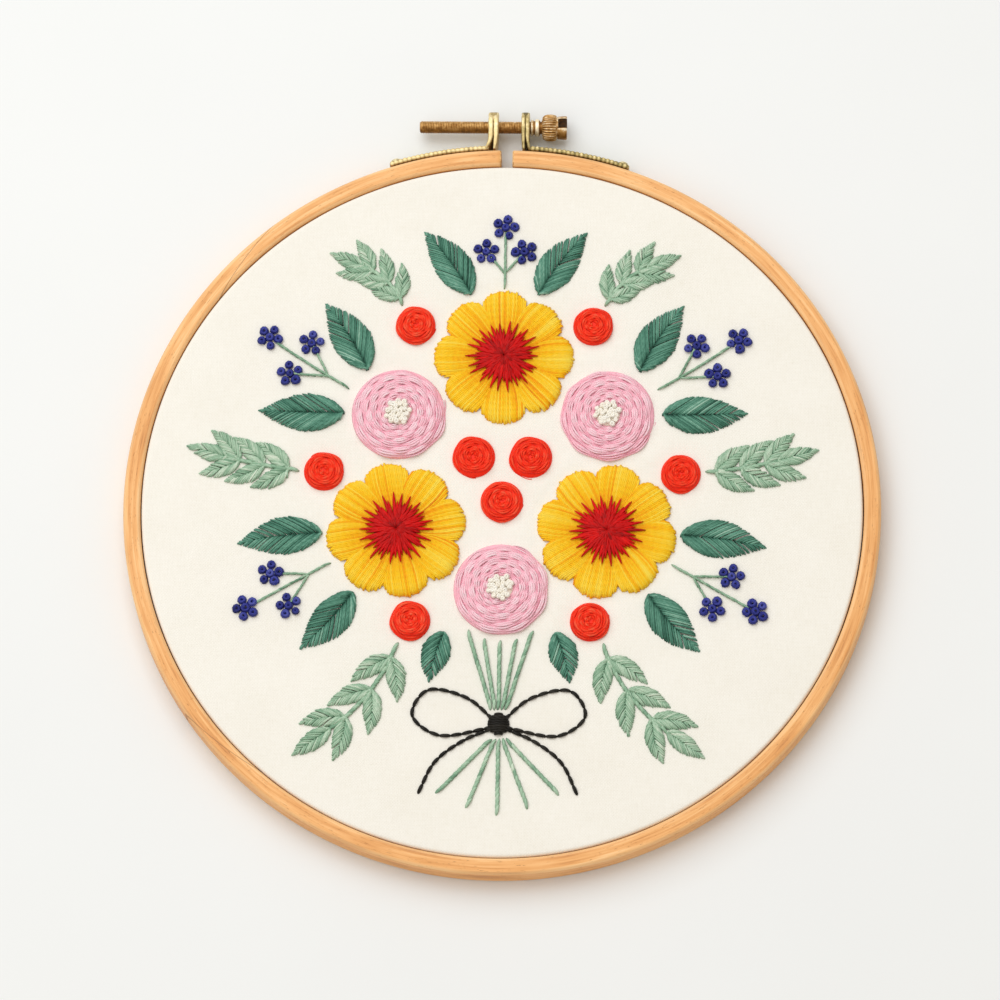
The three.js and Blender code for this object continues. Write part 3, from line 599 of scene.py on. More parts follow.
def lug_fold(near, far):
    """The rounded fold over the top of a lug: a flattened tube carried round its upper edge,
    from 12 to 168 degrees, and drawn in at both ends."""
    steps = 44
    way = np.linspace(0, 1, steps)
    angle = np.radians(12 + 156 * way)[:, None]
    section, _ = rounded_section(1.5, abs(far - near), 0.72, 7, 2)
    small = np.sqrt(np.clip(1 - np.abs(2 * way - 1) ** 6, 0.03, 1))[:, None]
    reach = LUG_RADIUS - 0.7 + section[:, 0] * small
    x = (near + far) / 2 + section[:, 1] * (0.8 + 0.2 * small)
    y, z = SCREW_Y + LUG_CROWN + reach * np.sin(angle), MID_Z + reach * np.cos(angle)
    # Painted light and shade round the fold: darker on its outer side, with bands of painted
    # highlight along it
    raised = 0.42 - 0.3 * section[:, 0] + 0.15 * np.sin(5 * angle + section[:, 1])
    return np.stack([x, y, z], -1), grid_faces(steps, len(section)), np.clip(raised, 0, 1)


def joined(parts):
    """Several parts as one, with one number or one row of numbers for each point."""
    points = [p.reshape(-1, 3) for p, _, _ in parts]
    starts = np.cumsum([0] + [len(p) for p in points])
    faces = [f + start for (_, f, _), start in zip(parts, starts)]
    values = [np.reshape(v, (len(p), -1)) for p, (_, _, v) in zip(points, parts)]
    return np.concatenate(points), np.concatenate(faces), np.concatenate(values)


BRASSES = {
    "left": brass("pale_brass", "#836a3c", "#cbb37c", "#e3cf9a", "#f7ebc6"),
    "right": brass("olive_brass", "#4d441f", "#8f7d48", "#c9b57e", "#f2e2b4"),
}
for side, (near, far, end, splay) in LUGS.items():
    sign = 1 if far > 0 else -1
    lug_degrees = np.degrees(np.arcsin(far * 0.96 / STRIP_RADIUS))
    half = abs(far - near) / 2 - 0.03
    leaves = [
        lug_leaf(near + half / 2 * sign, half, 0.3 * splay * sign, LUG_FEET[0]),
        lug_leaf(far - half / 2 * sign, half, splay * sign, LUG_FEET[1]),
    ]
    shapes = [ribbed_strip(lug_degrees, end), *leaves, lug_fold(near, far)]
    points, faces, raised = joined([outward(shape) for shape in shapes])
    bracket = add_piece(f"brass_bracket_{side}", points, faces, [BRASSES[side]], 40, raised=raised)
    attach(bracket, "hoop")
    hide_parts(f"bracket_{side}")


# ------------------------------------------------------------------ tacks
# Small round-headed brass nails, driven through the ends of the strips into the ring.

TACK_DEGREES = {"left": -17.0, "right": 17.8}
TACK_SEAT = 108.0
TACK_HEAD_RADIUS = 1.5
TACK_HEAD_RISE = 1.1
TACK_SHANK_RADIUS = 0.6
TACK_NECK_RADIUS = 1.45
TACK_POINT = 102.8
TACK_COLUMNS = 28
tack_brass = brass("tack_brass", "#94804a", "#dccfa4", "#f3e9c8", "#fff8e2")
for side, degrees in TACK_DEGREES.items():
    # A profile of distance out and half width, turned round the tack's own axis
    dome = np.radians(np.linspace(0, 84, 9))
    out = TACK_SEAT + 0.12 + (TACK_HEAD_RISE - 0.12) * np.sin(dome)
    wide = TACK_HEAD_RADIUS * np.cos(dome)
    out = np.concatenate([[TACK_POINT, TACK_POINT + 0.9, TACK_SEAT - 0.05, TACK_SEAT], out])
    wide = np.concatenate([[0.08, TACK_SHANK_RADIUS, TACK_SHANK_RADIUS, TACK_NECK_RADIUS], wide])
    turn = np.linspace(0, 2 * np.pi, TACK_COLUMNS, endpoint=False)
    heading = np.radians(degrees)
    reach, aside, height = out[:, None], wide[:, None] * np.cos(turn), wide[:, None] * np.sin(turn)
    x = reach * np.sin(heading) + aside * np.cos(heading)
    y = reach * np.cos(heading) - aside * np.sin(heading)
    points = np.stack([x, y, MID_Z + height], -1)
    # A painted highlight: the head is painted lighter towards its top
    raised = np.clip((out[:, None] - TACK_SEAT) / TACK_HEAD_RISE, 0, 1) + 0 * x
    faces = grid_faces(len(out), TACK_COLUMNS)
    tack = add_piece(f"brass_tack_{side}", points, faces, [tack_brass], 40, raised=raised)
    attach(tack, "hoop")
    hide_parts(f"tack_{side}")


# ------------------------------------------------------------------ screw
# The closing screw, of browned bronze: a cut thread through both lugs, a collar, a neck,
# a straight-knurled barrel for the fingers and an end slotted for a screwdriver or a coin.
# Its collar carries a painted highlight, and its grooves and slot walls painted shade.

SHANK_END_X = -25.0
SHANK_RADIUS = 1.75
SCREW_PITCH = 0.72
CUT_DEPTH = 0.09
HEAD_X = 6.6
KNURLS = 30
KNURL_DEPTH = 0.26
SLOT_HALF = 1.4
SLOT_LEAN = 8.0
# Places along the head, from where it starts, with the radius and then the painted brightness
# there: painted highlights on the collar and the bead, painted shade in the necks
HEAD_STATIONS = [
    (0, 1.9), (0.12, 2.25), (0.5, 2.3), (0.92, 1.95), (1.1, 1.9), (1.28, 2.3), (1.45, 2.44),
    (1.85, 2.5), (2.25, 2.44), (2.42, 2.25), (2.6, 1.9), (2.8, 1.78), (3.1, 1.8), (3.25, 2.4),
    (3.35, 3), (3.6, 3.3), (4.1, 3.62), (4.7, 3.78), (5.5, 3.84), (6.1, 3.83), (6.7, 3.72),
    (7.15, 3.52), (7.35, 3.3), (7.45, 3.02), (7.6, 3), (7.75, 3.18), (7.8, 3.2),
]
HEAD_BRIGHTNESS = [
    (0, 1.2), (0.5, 1.2), (1.1, 0.3), (1.3, 1.5), (2.2, 1.5), (2.6, 0.2), (3.1, 0.2),
    (3.3, 1.0), (7.8, 0.95),
]


def around_screw(x, radius, angle):
    """Points on the screw's axis system: radius * (sin, cos) of an angle about the axis."""
    return np.stack([x, SCREW_Y + radius * np.sin(angle), MID_Z + radius * np.cos(angle)], -1)


def screw_thread():
    """Radius falls by the cut's depth times a triangle wave of angle / turn + x / pitch."""
    end = HEAD_X + 0.4
    x = np.arange(SHANK_END_X, end, SCREW_PITCH / 8)
    angle = np.linspace(0, 2 * np.pi, 24, endpoint=False)
    phase = (x[:, None] / SCREW_PITCH + angle / (2 * np.pi)) % 1
    groove = np.clip(np.abs(2 * phase - 1) * 1.5 - 0.35, 0, 1)
    taper = np.clip((x - SHANK_END_X) / 0.5, 0, 1)[:, None]
    radius = (SHANK_RADIUS - CUT_DEPTH * groove) * (0.72 + 0.28 * np.sqrt(taper))
    points = around_screw(x[:, None] + 0 * radius, radius, angle)
    # Painted light and shade: the rod is painted lighter on its upper side and darker in the
    # thread's grooves
    return points, grid_faces(len(x), len(angle)), 0.56 - 0.05 * groove + 0.3 * np.sin(angle)


def screw_head():
    """Stations of x and radius turned round the axis. On the barrel the radius falls by the
    knurl's depth times (1 - cos of knurls * angle) / 2."""
    at, size = np.array(HEAD_STATIONS).T
    angle = np.linspace(0, 2 * np.pi, KNURLS * 6, endpoint=False)
    knurled = np.clip((at - 3.2) / 0.3, 0, 1) * np.clip((7.35 - at) / 0.3, 0, 1)
    wave = 0.5 - 0.5 * np.cos(KNURLS * angle)
    cut = knurled[:, None] * np.clip(wave * 1.3 - 0.1, 0, 1)
    radius = size[:, None] - KNURL_DEPTH * cut
    points = around_screw(HEAD_X + at[:, None] + 0 * radius, radius, angle)
    bright = np.interp(at, *np.array(HEAD_BRIGHTNESS).T)
    # Painted shade in the knurl grooves, on top of the painted brightness of each station
    return points, grid_faces(len(at), len(angle)), bright[:, None] * (1 - 0.75 * cut)


def slotted_half(side):
    """Half of the slotted end: an arc closed by a chord, carried along the axis. The arc runs
    over the angles whose cosine is above slot half width / radius, and the chord is flat."""
    at = np.array([7.6, 7.72, 8.5, 9.5, 10.02, 10.2, 10.3])
    size = np.array([3.1, 3.2, 3.3, 3.38, 3.38, 3.28, 3.05])[:, None]
    half = np.arccos(SLOT_HALF / size)
    sweep = half * np.linspace(-1, 1, 27)
    arc_y, arc_z = size * np.cos(sweep), size * np.sin(sweep)
    flat_z = size * np.sin(half) * np.linspace(1, -1, 9)[1:-1]
    y = np.concatenate([arc_y, 0 * flat_z + SLOT_HALF], 1) * side
    z = np.concatenate([arc_z, flat_z], 1)
    lean = np.radians(SLOT_LEAN)
    rise, front = y * np.cos(lean) + z * np.sin(lean), z * np.cos(lean) - y * np.sin(lean)
    points = np.stack([HEAD_X + at[:, None] + 0 * y, SCREW_Y + rise, MID_Z + front], -1)
    # A painted highlight along the front edge of each half beside the slot, and painted shade on
    # the slot's own walls
    lip_highlight = 1.1 * np.exp(-(((np.abs(y) - SLOT_HALF) / 0.7) ** 2)) * (z > 0)
    raised = np.where(np.abs(y) < SLOT_HALF + 0.02, -0.1, 0.45 + lip_highlight)
    return points, grid_faces(len(at), y.shape[1]), raised


shapes = [screw_thread(), screw_head(), slotted_half(1), slotted_half(-1)]
points, faces, raised = joined([outward(shape) for shape in shapes])
bronze = brass("browned_bronze", "#4c2f0c", "#93652a", "#c99d5f", "#fff0d0")
screw = add_piece("bronze_screw", points, faces, [bronze], 35, raised=raised)
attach(screw, "screw")
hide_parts("screw")


# ------------------------------------------------------------------ dark green leaves
# Twelve leaves in stranded cotton, worked in fishbone stitch: slanted stitches from the edge to
# the middle, left and right in turn, so that they meet in a sunk vein.

rng = np.random.default_rng(20)
LEAF_SLANT = 0.8
LEAF_PITCH = 0.62
LEAVES = [
    (9.4, 62.4, 62, 23, 10.5, -16), (38.2, 39.8, 66, 23, 11, -16), (44.4, 27.4, -2, 24, 11, 6),
    (49.8, -8, -2, 24, 11, -12), (41, -25, -56, 22, 10.5, 14), (15.4, -36.4, -66, 15, 8, -16),
]


def both_sides(places):
    """Places (x, y, heading, length, width or leaf, bend), each followed by its mirror image
    unless it stands in the middle."""
    found = []
    for x, y, heading, length, width, bend in places:
        found.append((x, y, heading, length, width, bend))
        if x != 0:
            found.append((-x, y, 180 - heading, length, width, -bend))
    return found


def along_arc(place, share, aside=0.0):
    """Points of a curved band. With radius R = length / turn and heading a = start + turn *
    share, the middle line is x + R (sin a - sin start), y - R (cos a - cos start)."""
    x, y, heading, length, _, bend = place
    start, turn = np.radians(heading), np.radians(bend) or 1e-6
    angle = start + turn * share
    radius = length / turn
    mid_x = x + radius * (np.sin(angle) - np.sin(start))
    mid_y = y - radius * (np.cos(angle) - np.cos(start))
    return mid_x - aside * np.sin(angle), mid_y + aside * np.cos(angle)


def threads(spine, half_width, half_height, tone, sides=6):
    """Flattened closed tubes of floss, one for each row of spine points. A point is the spine's
    plus cos(a) * half width across and sin(a) * half height up, square to the thread. The lay
    attribute is the place across, the length run so far, and a number for each thread."""
    rows, count = spine.shape[:2]
    run = np.gradient(spine, axis=1)
    run /= np.maximum(np.linalg.norm(run, axis=2, keepdims=True), 1e-9)
    level = np.stack([-run[..., 1], run[..., 0], 0 * run[..., 0]], -1)
    level /= np.maximum(np.linalg.norm(level, axis=2, keepdims=True), 1e-9)
    up = np.cross(run, level)
    turn = np.linspace(0, 2 * np.pi, sides, endpoint=False)
    wide = np.broadcast_to(half_width, (rows, count))[..., None, None]
    high = np.broadcast_to(half_height, (rows, count))[..., None, None]
    across = np.cos(turn)[:, None] * wide * level[:, :, None]
    points = spine[:, :, None] + (across + np.sin(turn)[:, None] * high * up[:, :, None])
    step = np.linalg.norm(np.diff(spine, axis=1), axis=2)
    length = np.concatenate([np.zeros((rows, 1)), np.cumsum(step, 1)], 1)[..., None]
    shape = (rows, count, sides)
    seed = np.broadcast_to(rng.random((rows, 1, 1)), shape)
    lay = np.stack([np.broadcast_to(np.cos(turn), shape), np.broadcast_to(length, shape), seed], -1)
    tones = np.broadcast_to(np.asarray(tone, float).reshape(rows, -1), (rows, count))
    faces = grid_faces(count, sides) + (np.arange(rows) * count * sides)[:, None, None]
    values = np.concatenate([lay, np.broadcast_to(tones[..., None], shape)[..., None]], -1)
    return points.reshape(-1, 3), faces.reshape(-1, 4), values.reshape(-1, 4)


def add_stitched(name, parts, material):
    """One piece from several lots of threads."""
    points, faces, values = joined(parts)
    return add_piece(name, points, faces, [material], lay=values[:, :3], tone=values[:, 3])


def floss(name, *shades, places=(0, 0.35, 0.65, 1), gloss=0.45, plies=2.5, flank_shade=0.3):
    """Stranded cotton: the tone attribute picks the shade, the two sides of each thread are
    painted darker where it lies against the next, a painted shade, and slanting plies stand up
    along it, their crests painted a little lighter as a painted glint."""
    material, tree, shader = new_material(name)
    lay = read_attribute(tree, "lay", "Vector")
    tone = read_attribute(tree, "tone")
    across, run, seed = add_node(tree, "ShaderNodeSeparateXYZ", {"Vector": lay}).outputs
    here = add_node(tree, "ShaderNodeTexCoord").outputs["Object"]
    cloudy = add_grains(tree, here, 900.0, (1, 1, 1), 2.0)
    share = add_math(tree, "MULTIPLY_ADD", cloudy, 0.36, add_math(tree, "SUBTRACT", tone, 0.18))
    share = add_math(tree, "MULTIPLY_ADD", seed, 0.24, add_math(tree, "SUBTRACT", share, 0.12))
    phase = add_math(tree, "MULTIPLY_ADD", across, plies, add_math(tree, "MULTIPLY", run, 1.1))
    strands = add_math(tree, "SINE", add_math(tree, "MULTIPLY", phase, np.pi))
    strands = add_math(tree, "MULTIPLY_ADD", strands, 0.5, 0.5)
    # The ply crests are painted a little lighter, a painted glint
    share = add_math(tree, "MULTIPLY_ADD", strands, 0.12, add_math(tree, "SUBTRACT", share, 0.06))
    colour = add_ramp(tree, share, *zip(places, shades))
    # Painted shade: each thread darkens towards its two sides, where it lies against the next
    flank = add_math(tree, "POWER", add_math(tree, "ABSOLUTE", across), 3.0)
    darker = add_math(tree, "MULTIPLY", flank, flank_shade)
    colour = add_blend(tree, darker, colour, shades[0], "MULTIPLY")
    set_inputs(tree, shader, {"Base Color": colour, "Roughness": gloss})
    set_inputs(tree, shader, {"Specular IOR Level": 0.2})
    set_inputs(tree, shader, {"Sheen Weight": 0.03, "Sheen Roughness": 0.4})
    fibres = add_grains(tree, lay, 1.0, (9.0, 2.2, 1.0), 3.0)
    set_bump(tree, shader, add_math(tree, "MULTIPLY_ADD", fibres, 0.5, strands), 0.6, 0.00012)
    return material


def leaf_width(share):
    """Half width of a leaf as a share of its greatest: sin(pi * share ^ 0.85) ^ 0.9."""
    return np.sin(np.pi * np.clip(share, 0, 1) ** 0.85) ** 0.9


STITCH_DROP = np.array([-0.30, 0.10, 0.62, 0.92, 0.84, 0.46, -0.32])
STITCH_WAY = np.array([0.0, 0.05, 0.2, 0.45, 0.74, 0.93, 1.0])
# Painted shade along each stitch, from the vein out: darkest in the sunk vein, a little darker
# where it goes down at the outline
VEIN_PAINTED_SHADE = np.array([-0.5, -0.4, -0.02, 0.08, 0.04, 0.0, -0.12])


def fishbone(place, pitch, tone, thread=0.29):
    """One leaf. On each side a stitch ends on the outline at share e of the leaf. It starts a
    little across the vein, half width / slant * 1.05 + 1.3 mm nearer to the leaf's foot, and
    arches over the padding in between."""
    _, _, _, length, width, _ = place
    count = int(length / pitch)
    parts = []
    for side in (1, -1):
        end = np.linspace(0.06, 1.0, count) + rng.normal(0, 0.004, count)
        half = leaf_width(np.clip(end, 0, 0.995)) * width / 2
        half = half + rng.normal(0, 0.11, count)
        start = end - (half / LEAF_SLANT * 1.05 + 1.3) / length
        start = np.maximum(start, 0.01 + 0.02 * rng.random(count))
        way = STITCH_WAY[None]
        share = start[:, None] + (end - start)[:, None] * way
        aside = side * (-0.28 + (half[:, None] + 0.28) * way)
        x, y = along_arc(place, share, aside)
        lift = (0.55 + 0.45 * np.clip(half / 3, 0, 1))[:, None]
        rise = np.where(STITCH_DROP > 0, STITCH_DROP * lift, STITCH_DROP)
        rise = rise + rng.normal(0, 0.025, (count, 1))
        z = CLOTH_TOP + rise
        wide = thread * np.array([0.7, 0.95, 1.05, 1.05, 1.05, 0.95, 0.7])
        # One half of the leaf is painted a little lighter than the other, a painted sheen, and the
        # vein and outline get painted shade
        shade = tone + 0.04 * side + rng.normal(0, 0.12, (count, 1)) + VEIN_PAINTED_SHADE
        parts.append(threads(np.stack([x, y, z], -1), wide, 0.26, shade))
    way = np.linspace(0, 1, 7)[None]
    x, y = along_arc(place, 0.8 + 0.22 * way, 0 * way)
    z = CLOTH_TOP + np.array([[-0.2, 0.45, 0.62, 0.66, 0.6, 0.3, -0.3]])
    parts.append(threads(np.stack([x, y, z], -1), thread, 0.26, [tone]))
    return parts


pine = floss("pine_floss", "#264f41", "#4a816d", "#6aa28c", "#a6cdb9")
parts = [lot for place in both_sides(LEAVES) for lot in fishbone(place, LEAF_PITCH, 0.45)]
leaves = add_stitched("pine_leaves", parts, pine)
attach(leaves, "hoop")
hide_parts(*[f"leaf_{n}" for n in range(1, 13)])


# ------------------------------------------------------------------ sage sprays
# Six curved stems in stem stitch, each with three pairs of small fishbone leaves and one at
# its tip, in a paler green.

STEM_HALF = 0.75
SPRAYS = [
    (28.6, 59.4, 66, 17, 10.4, -44), (57, 10.5, 4, 21, 12, 12), (28.6, -39.6, -72, 32, 13, 36),
]
LEAFLET_TURN = 44
LEAFLET_SLIM = 0.41
LEAFLET_PITCH = 0.6
STEM_STITCH = 3.4


def line_points(x, y, distance):
    """The points at given distances along a line of many short steps, and its direction."""
    run = np.concatenate([[0], np.cumsum(np.hypot(np.diff(x), np.diff(y)))])
    at_x, at_y = np.interp(distance, run, x), np.interp(distance, run, y)
    ahead_x = np.interp(distance + 0.2, run, x) - np.interp(distance - 0.2, run, x)
    ahead_y = np.interp(distance + 0.2, run, y) - np.interp(distance - 0.2, run, y)
    size = np.maximum(np.hypot(ahead_x, ahead_y), 1e-9)
    return at_x, at_y, ahead_x / size, ahead_y / size


def stem_stitch(x, y, half, tone, lift=0.0):
    """A rope-like line: stitches that overlap by half their length, each from one side of the
    line to the other, so that the next one rises beside it."""
    length = np.hypot(np.diff(x), np.diff(y)).sum()
    count = max(int(round(length / (STEM_STITCH * 0.5))) - 1, 1)
    start = np.linspace(0, length - STEM_STITCH, count)[:, None]
    way = np.linspace(0, 1, 7)[None]
    at_x, at_y, go_x, go_y = line_points(x, y, start + STEM_STITCH * way)
    aside = half * 0.42 * (1 - 2 * way) + rng.normal(0, 0.03, (count, 1))
    z = CLOTH_TOP + lift + np.array([-0.25, 0.34, 0.56, 0.64, 0.56, 0.34, -0.25]) + 0 * aside
    spine = np.stack([at_x - go_y * aside, at_y + go_x * aside, z], -1)
    wide = half * np.array([0.4, 0.62, 0.68, 0.7, 0.68, 0.62, 0.4])
    return threads(spine, wide, 0.3, tone + rng.normal(0, 0.08, count))


def spray(place):
    """The stem along its arc, leaves turned to either side at shares 1/6, 3/6 and 5/6 of it,
    and one more at the tip."""
    leaf = place[4]
    share = np.linspace(0, 1, 60)
    parts = [stem_stitch(*along_arc(place, share), STEM_HALF, tone=0.4)]
    roots = [(1, 1), (1, -1), (3, 1), (3, -1), (5, 1), (5, -1), (6, 0)]
    for step, side in roots:
        x, y = along_arc(place, step / 6)
        heading = place[2] + place[5] * step / 6
        back = np.radians(heading)
        turn = side * LEAFLET_TURN
        root = (x - STEM_HALF * np.cos(back), y - STEM_HALF * np.sin(back), heading + turn)
        leaflet = (*root, leaf, LEAFLET_SLIM * leaf, -turn / 2)
        parts += fishbone(leaflet, pitch=LEAFLET_PITCH, tone=0.5, thread=0.28)
    return parts


sage = floss("sage_floss", "#57846a", "#93b99c", "#b6d3b9", "#dfecd9")
sprays = add_stitched("sage_sprays", [lot for p in both_sides(SPRAYS) for lot in spray(p)], sage)
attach(sprays, "hoop")
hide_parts(*[f"spray_{n}" for n in range(1, 7)])


# ------------------------------------------------------------------ amber daisies
# Three flowers of eight broad petals in padded satin stitch. The threads run the length of
# each petal, close together at its foot and fanned out over its round, raised end.

PETALS = 8
PETAL_FOOT = 3.5
PETAL_THREADS = 27
PETAL_HALF = 1.04 * DAISY_RADIUS * 0.75 * np.tan(np.pi / PETALS)


def petal(x, y, heading, lift):
    """Thread v, from -1 to 1 across the petal, lies v * half width * (0.3 + 0.7 sin) off its
    middle line, and ends on an ellipse: at 0.72 + 0.28 * sqrt(1 - v squared) of its length."""
    across = np.linspace(-1, 1, PETAL_THREADS)[:, None]
    length = DAISY_RADIUS - PETAL_FOOT
    end = 0.72 + 0.28 * np.sqrt(np.clip(1 - across**2, 0, 1)) + rng.normal(0, 0.011, across.shape)
    way = np.array([[0, 0.12, 0.3, 0.5, 0.7, 0.86, 0.95, 0.985, 1.0]])
    share = end * way
    fan = 0.3 + 0.7 * np.sin(np.pi / 2 * np.clip(share / 0.75, 0, 1))
    aside = across * PETAL_HALF * fan
    out = PETAL_FOOT + length * share
    turn = np.radians(heading)
    at_x = x + out * np.cos(turn) - aside * np.sin(turn)
    at_y = y + out * np.sin(turn) + aside * np.cos(turn)
    pad = np.array([[0.5, 0.8, 0.86, 0.9, 1.0, 1.06, 0.86, 0.4, -0.3]])
    crown = 1 - 0.42 * np.abs(across) ** 3
    z = CLOTH_TOP + lift + np.where(pad > 0, pad * crown, pad) + rng.normal(0, 0.035, across.shape)
    wide = fan * PETAL_HALF * 2 / (PETAL_THREADS - 1) * 0.66 + 0.03
    # The padding term paints the high middle of each thread lighter and its ends, where it goes
    # down, darker: painted light and shade
    shade = 0.32 + 0.42 * share + rng.normal(0, 0.12, across.shape) + 0.12 * (pad - 0.8)
    spine = np.stack([at_x, at_y, z], -1)
    return threads(spine, wide, 0.27, shade)


parts = [
    petal(x, y, turn + 45.0 * n, 0.08 * (n % 2))
    for x, y, turn in DAISIES
    for n in range(PETALS)
]
amber = floss(
    "amber_floss", "#e58200", "#fca900", "#ffcd14", "#ffe352", gloss=0.42, places=(0, 0.3, 0.6, 1)
)
daisies = add_stitched("amber_daisies", parts, amber)
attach(daisies, "hoop")
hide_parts("daisy_top", "daisy_left", "daisy_right")


# ------------------------------------------------------------------ crimson daisy eyes
# Long and short straight stitches that all start at the flower's middle and run out over the
# petals, the longest to a fine point, so that the dark red breaks up into rays.

EYE_SEAT = 9.1
# Rays, reach, spread, height, tone and half width of each layer, from the lowest up
EYE_LAYERS = [
    (44, 9.3, 1.9, 0.35, 0.5, 0.5), (38, 7.2, 0.9, 0.62, 0.42, 0.46),
    (22, 4.4, 0.8, 0.86, 0.32, 0.42),
]


def eye_rays(x, y, count, reach, spread, height, tone, wide):
    """Straight stitches at even angles, from close to the middle out to a radius of reach plus
    or minus 0.6 * spread, in turn. Each stands highest near the middle and tapers into the
    petals at its tip."""
    angle = np.linspace(0, 2 * np.pi, count, endpoint=False) + rng.normal(0, 0.035, count)
    long = reach + spread * np.where(np.arange(count) % 2, -0.6, 0.6) + rng.normal(0, 0.4, count)
    way = np.array([[0.04, 0.12, 0.3, 0.55, 0.8, 0.94, 1.0]])
    out = long[:, None] * way
    at_x, at_y = x + out * np.cos(angle)[:, None], y + out * np.sin(angle)[:, None]
    pad = np.array([[0.35, 0.8, 1.0, 0.86, 0.45, 0.12, -0.35]])
    z = EYE_SEAT + height * pad + rng.normal(0, 0.03, (count, 1))
    thick = wide * np.array([[0.5, 0.7, 0.95, 1.05, 0.8, 0.45, 0.16]])
    shade = tone + rng.normal(0, 0.09, (count, 1)) + 0.18 * (way - 0.4)
    return threads(np.stack([at_x, at_y, z], -1), thick, 0.24, shade)


parts = [eye_rays(x, y, *layer) for x, y, _ in DAISIES for layer in EYE_LAYERS]
crimson = floss("crimson_floss", "#860000", "#bc0000", "#d80000", "#ee1408")
eyes = add_stitched("crimson_eyes", parts, crimson)
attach(eyes, "hoop")
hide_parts("daisy_top_eye", "daisy_left_eye", "daisy_right_eye")


# ------------------------------------------------------------------ pink woven roses
# Woven wheels: seventeen spokes are laid first, then one long thread goes round and round them,
# over one and under the next, from the middle outwards. A gap is left there for the knots.

ROSE_SPOKES = 17
ROSE_TURNS = 7
ROSE_CREST = 9.75
ANY_TURN = 6.28


def wound(x, y, inner, outer, turns, spokes, strands, crest, dip, wave, half, tone):
    """A band of strands laid side by side along a spiral of radius inner + (outer - inner) *
    share. Its height is a dome that falls to the cloth at the rim, plus wave * cos(spokes / 2 *
    angle), which swaps over and under from one turn to the next, since the number of spokes is
    odd. Where the band is over it spreads and bows outwards, and where it is under it narrows."""
    steps = turns * max(44, 7 * spokes)
    share = np.linspace(0, 1, steps)
    angle = share * turns * 2 * np.pi + rng.random() * ANY_TURN
    drift = sum(
        size * np.sin(rate * angle + rng.random() * ANY_TURN)
        for rate, size in ((0.37, 0.09), (1.13, 0.08), (2.71, 0.06), (0.09, 0.1))
    )
    over = np.cos(spokes * angle / 2)
    radius = inner + (outer - inner) * share + drift * np.clip(share * 4, 0.2, 1)
    radius = radius + 0.5 * wave * np.cos(spokes * angle / 2 + 0.5)
    place = (np.arange(strands) - (strands - 1) / 2)[:, None]
    wander = 0.05 * np.sin(1.7 * angle * (1 + 0.1 * place) + 2.1 * place)
    radius = radius + place * half * 1.55 * (1 + 0.22 * over) + wander
    level = radius / outer
    fall = np.clip((level - 0.55) / 0.45, 0, 1.04)
    height = CLOTH_TOP + (crest - CLOTH_TOP) * np.sqrt(np.clip(1 - 0.86 * fall**2.2, 0.04, 1))
    height = height - dip * np.exp(-((level / 0.33) ** 2))
    ends = np.clip(np.minimum(share, 1 - share) * steps / 14, 0, 1)
    z = height + wave * over - 0.3 * half - 0.1 * np.abs(place) - 0.6 * (1 - ends)
    spine = np.stack([x + radius * np.cos(angle), y + radius * np.sin(angle), z], -1)
    # Painted light and shade: the thread is lighter where it passes over a spoke and darker where
    # it dips under
    shade = tone + 0.16 * over + 0.1 * np.sin(0.61 * angle) + 0.07 * np.sin(3.3 * angle + 2 * place)
    wide = half * (0.35 + 0.65 * ends) * (1 + 0.12 * np.sin(2.3 * angle + place))
    return threads(spine, wide, half * 0.8, shade)


def under_dome(x, y, radius, crest, dip, tone):
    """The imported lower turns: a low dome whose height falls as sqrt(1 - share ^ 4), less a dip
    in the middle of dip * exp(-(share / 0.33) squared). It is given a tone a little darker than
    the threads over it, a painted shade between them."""
    share = np.array([1.0, 0.97, 0.9, 0.8, 0.66, 0.5, 0.34, 0.18, 0.04])
    tall = crest - CLOTH_TOP
    hollow = dip * np.exp(-((share / 0.33) ** 2))
    z = CLOTH_TOP - 0.2 + tall * np.sqrt(1 - share**4 * 0.999) - hollow
    z[0] = CLOTH_TOP - 0.3
    turn = np.linspace(0, 2 * np.pi, 40, endpoint=False)
    out = radius * share[:, None]
    at_x, at_y = x + out * np.cos(turn), y + out * np.sin(turn)
    points = np.stack([at_x, at_y, z[:, None] + 0 * at_x], -1)
    values = np.zeros((points.size // 3, 4))
    values[:, 3] = tone
    faces = grid_faces(len(share), len(turn))
    return outward((points.reshape(-1, 3), faces, values))


parts = []
for x, y in ROSES:
    shape = dict(inner=3.5, outer=12.9, turns=ROSE_TURNS, spokes=ROSE_SPOKES, strands=3)
    shape |= dict(crest=ROSE_CREST, dip=0.5, wave=0.3, half=0.31, tone=0.5)
    parts.append(wound(x, y, **shape))
    parts.append(under_dome(x, y, radius=13.2, crest=ROSE_CREST - 0.2, dip=0.5, tone=0.4))
pink = floss("pink_floss", "#f2a3ba", "#ffc0d0", "#ffd3df", "#ffebf1", gloss=0.6, flank_shade=0.12)
roses = add_stitched("pink_roses", parts, pink)
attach(roses, "hoop")
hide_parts("rose_left", "rose_right", "rose_low")


# ------------------------------------------------------------------ white knots
# A close cluster of small knots in white floss fills the middle of each rose. In a knot the
# thread is wound twice round the needle and drawn down through its own middle.

KNOT_SEAT = 9.55
KNOTS_RADIUS = 3.8
KNOTS_EACH = 26
SUNFLOWER_DEGREES = 137.5


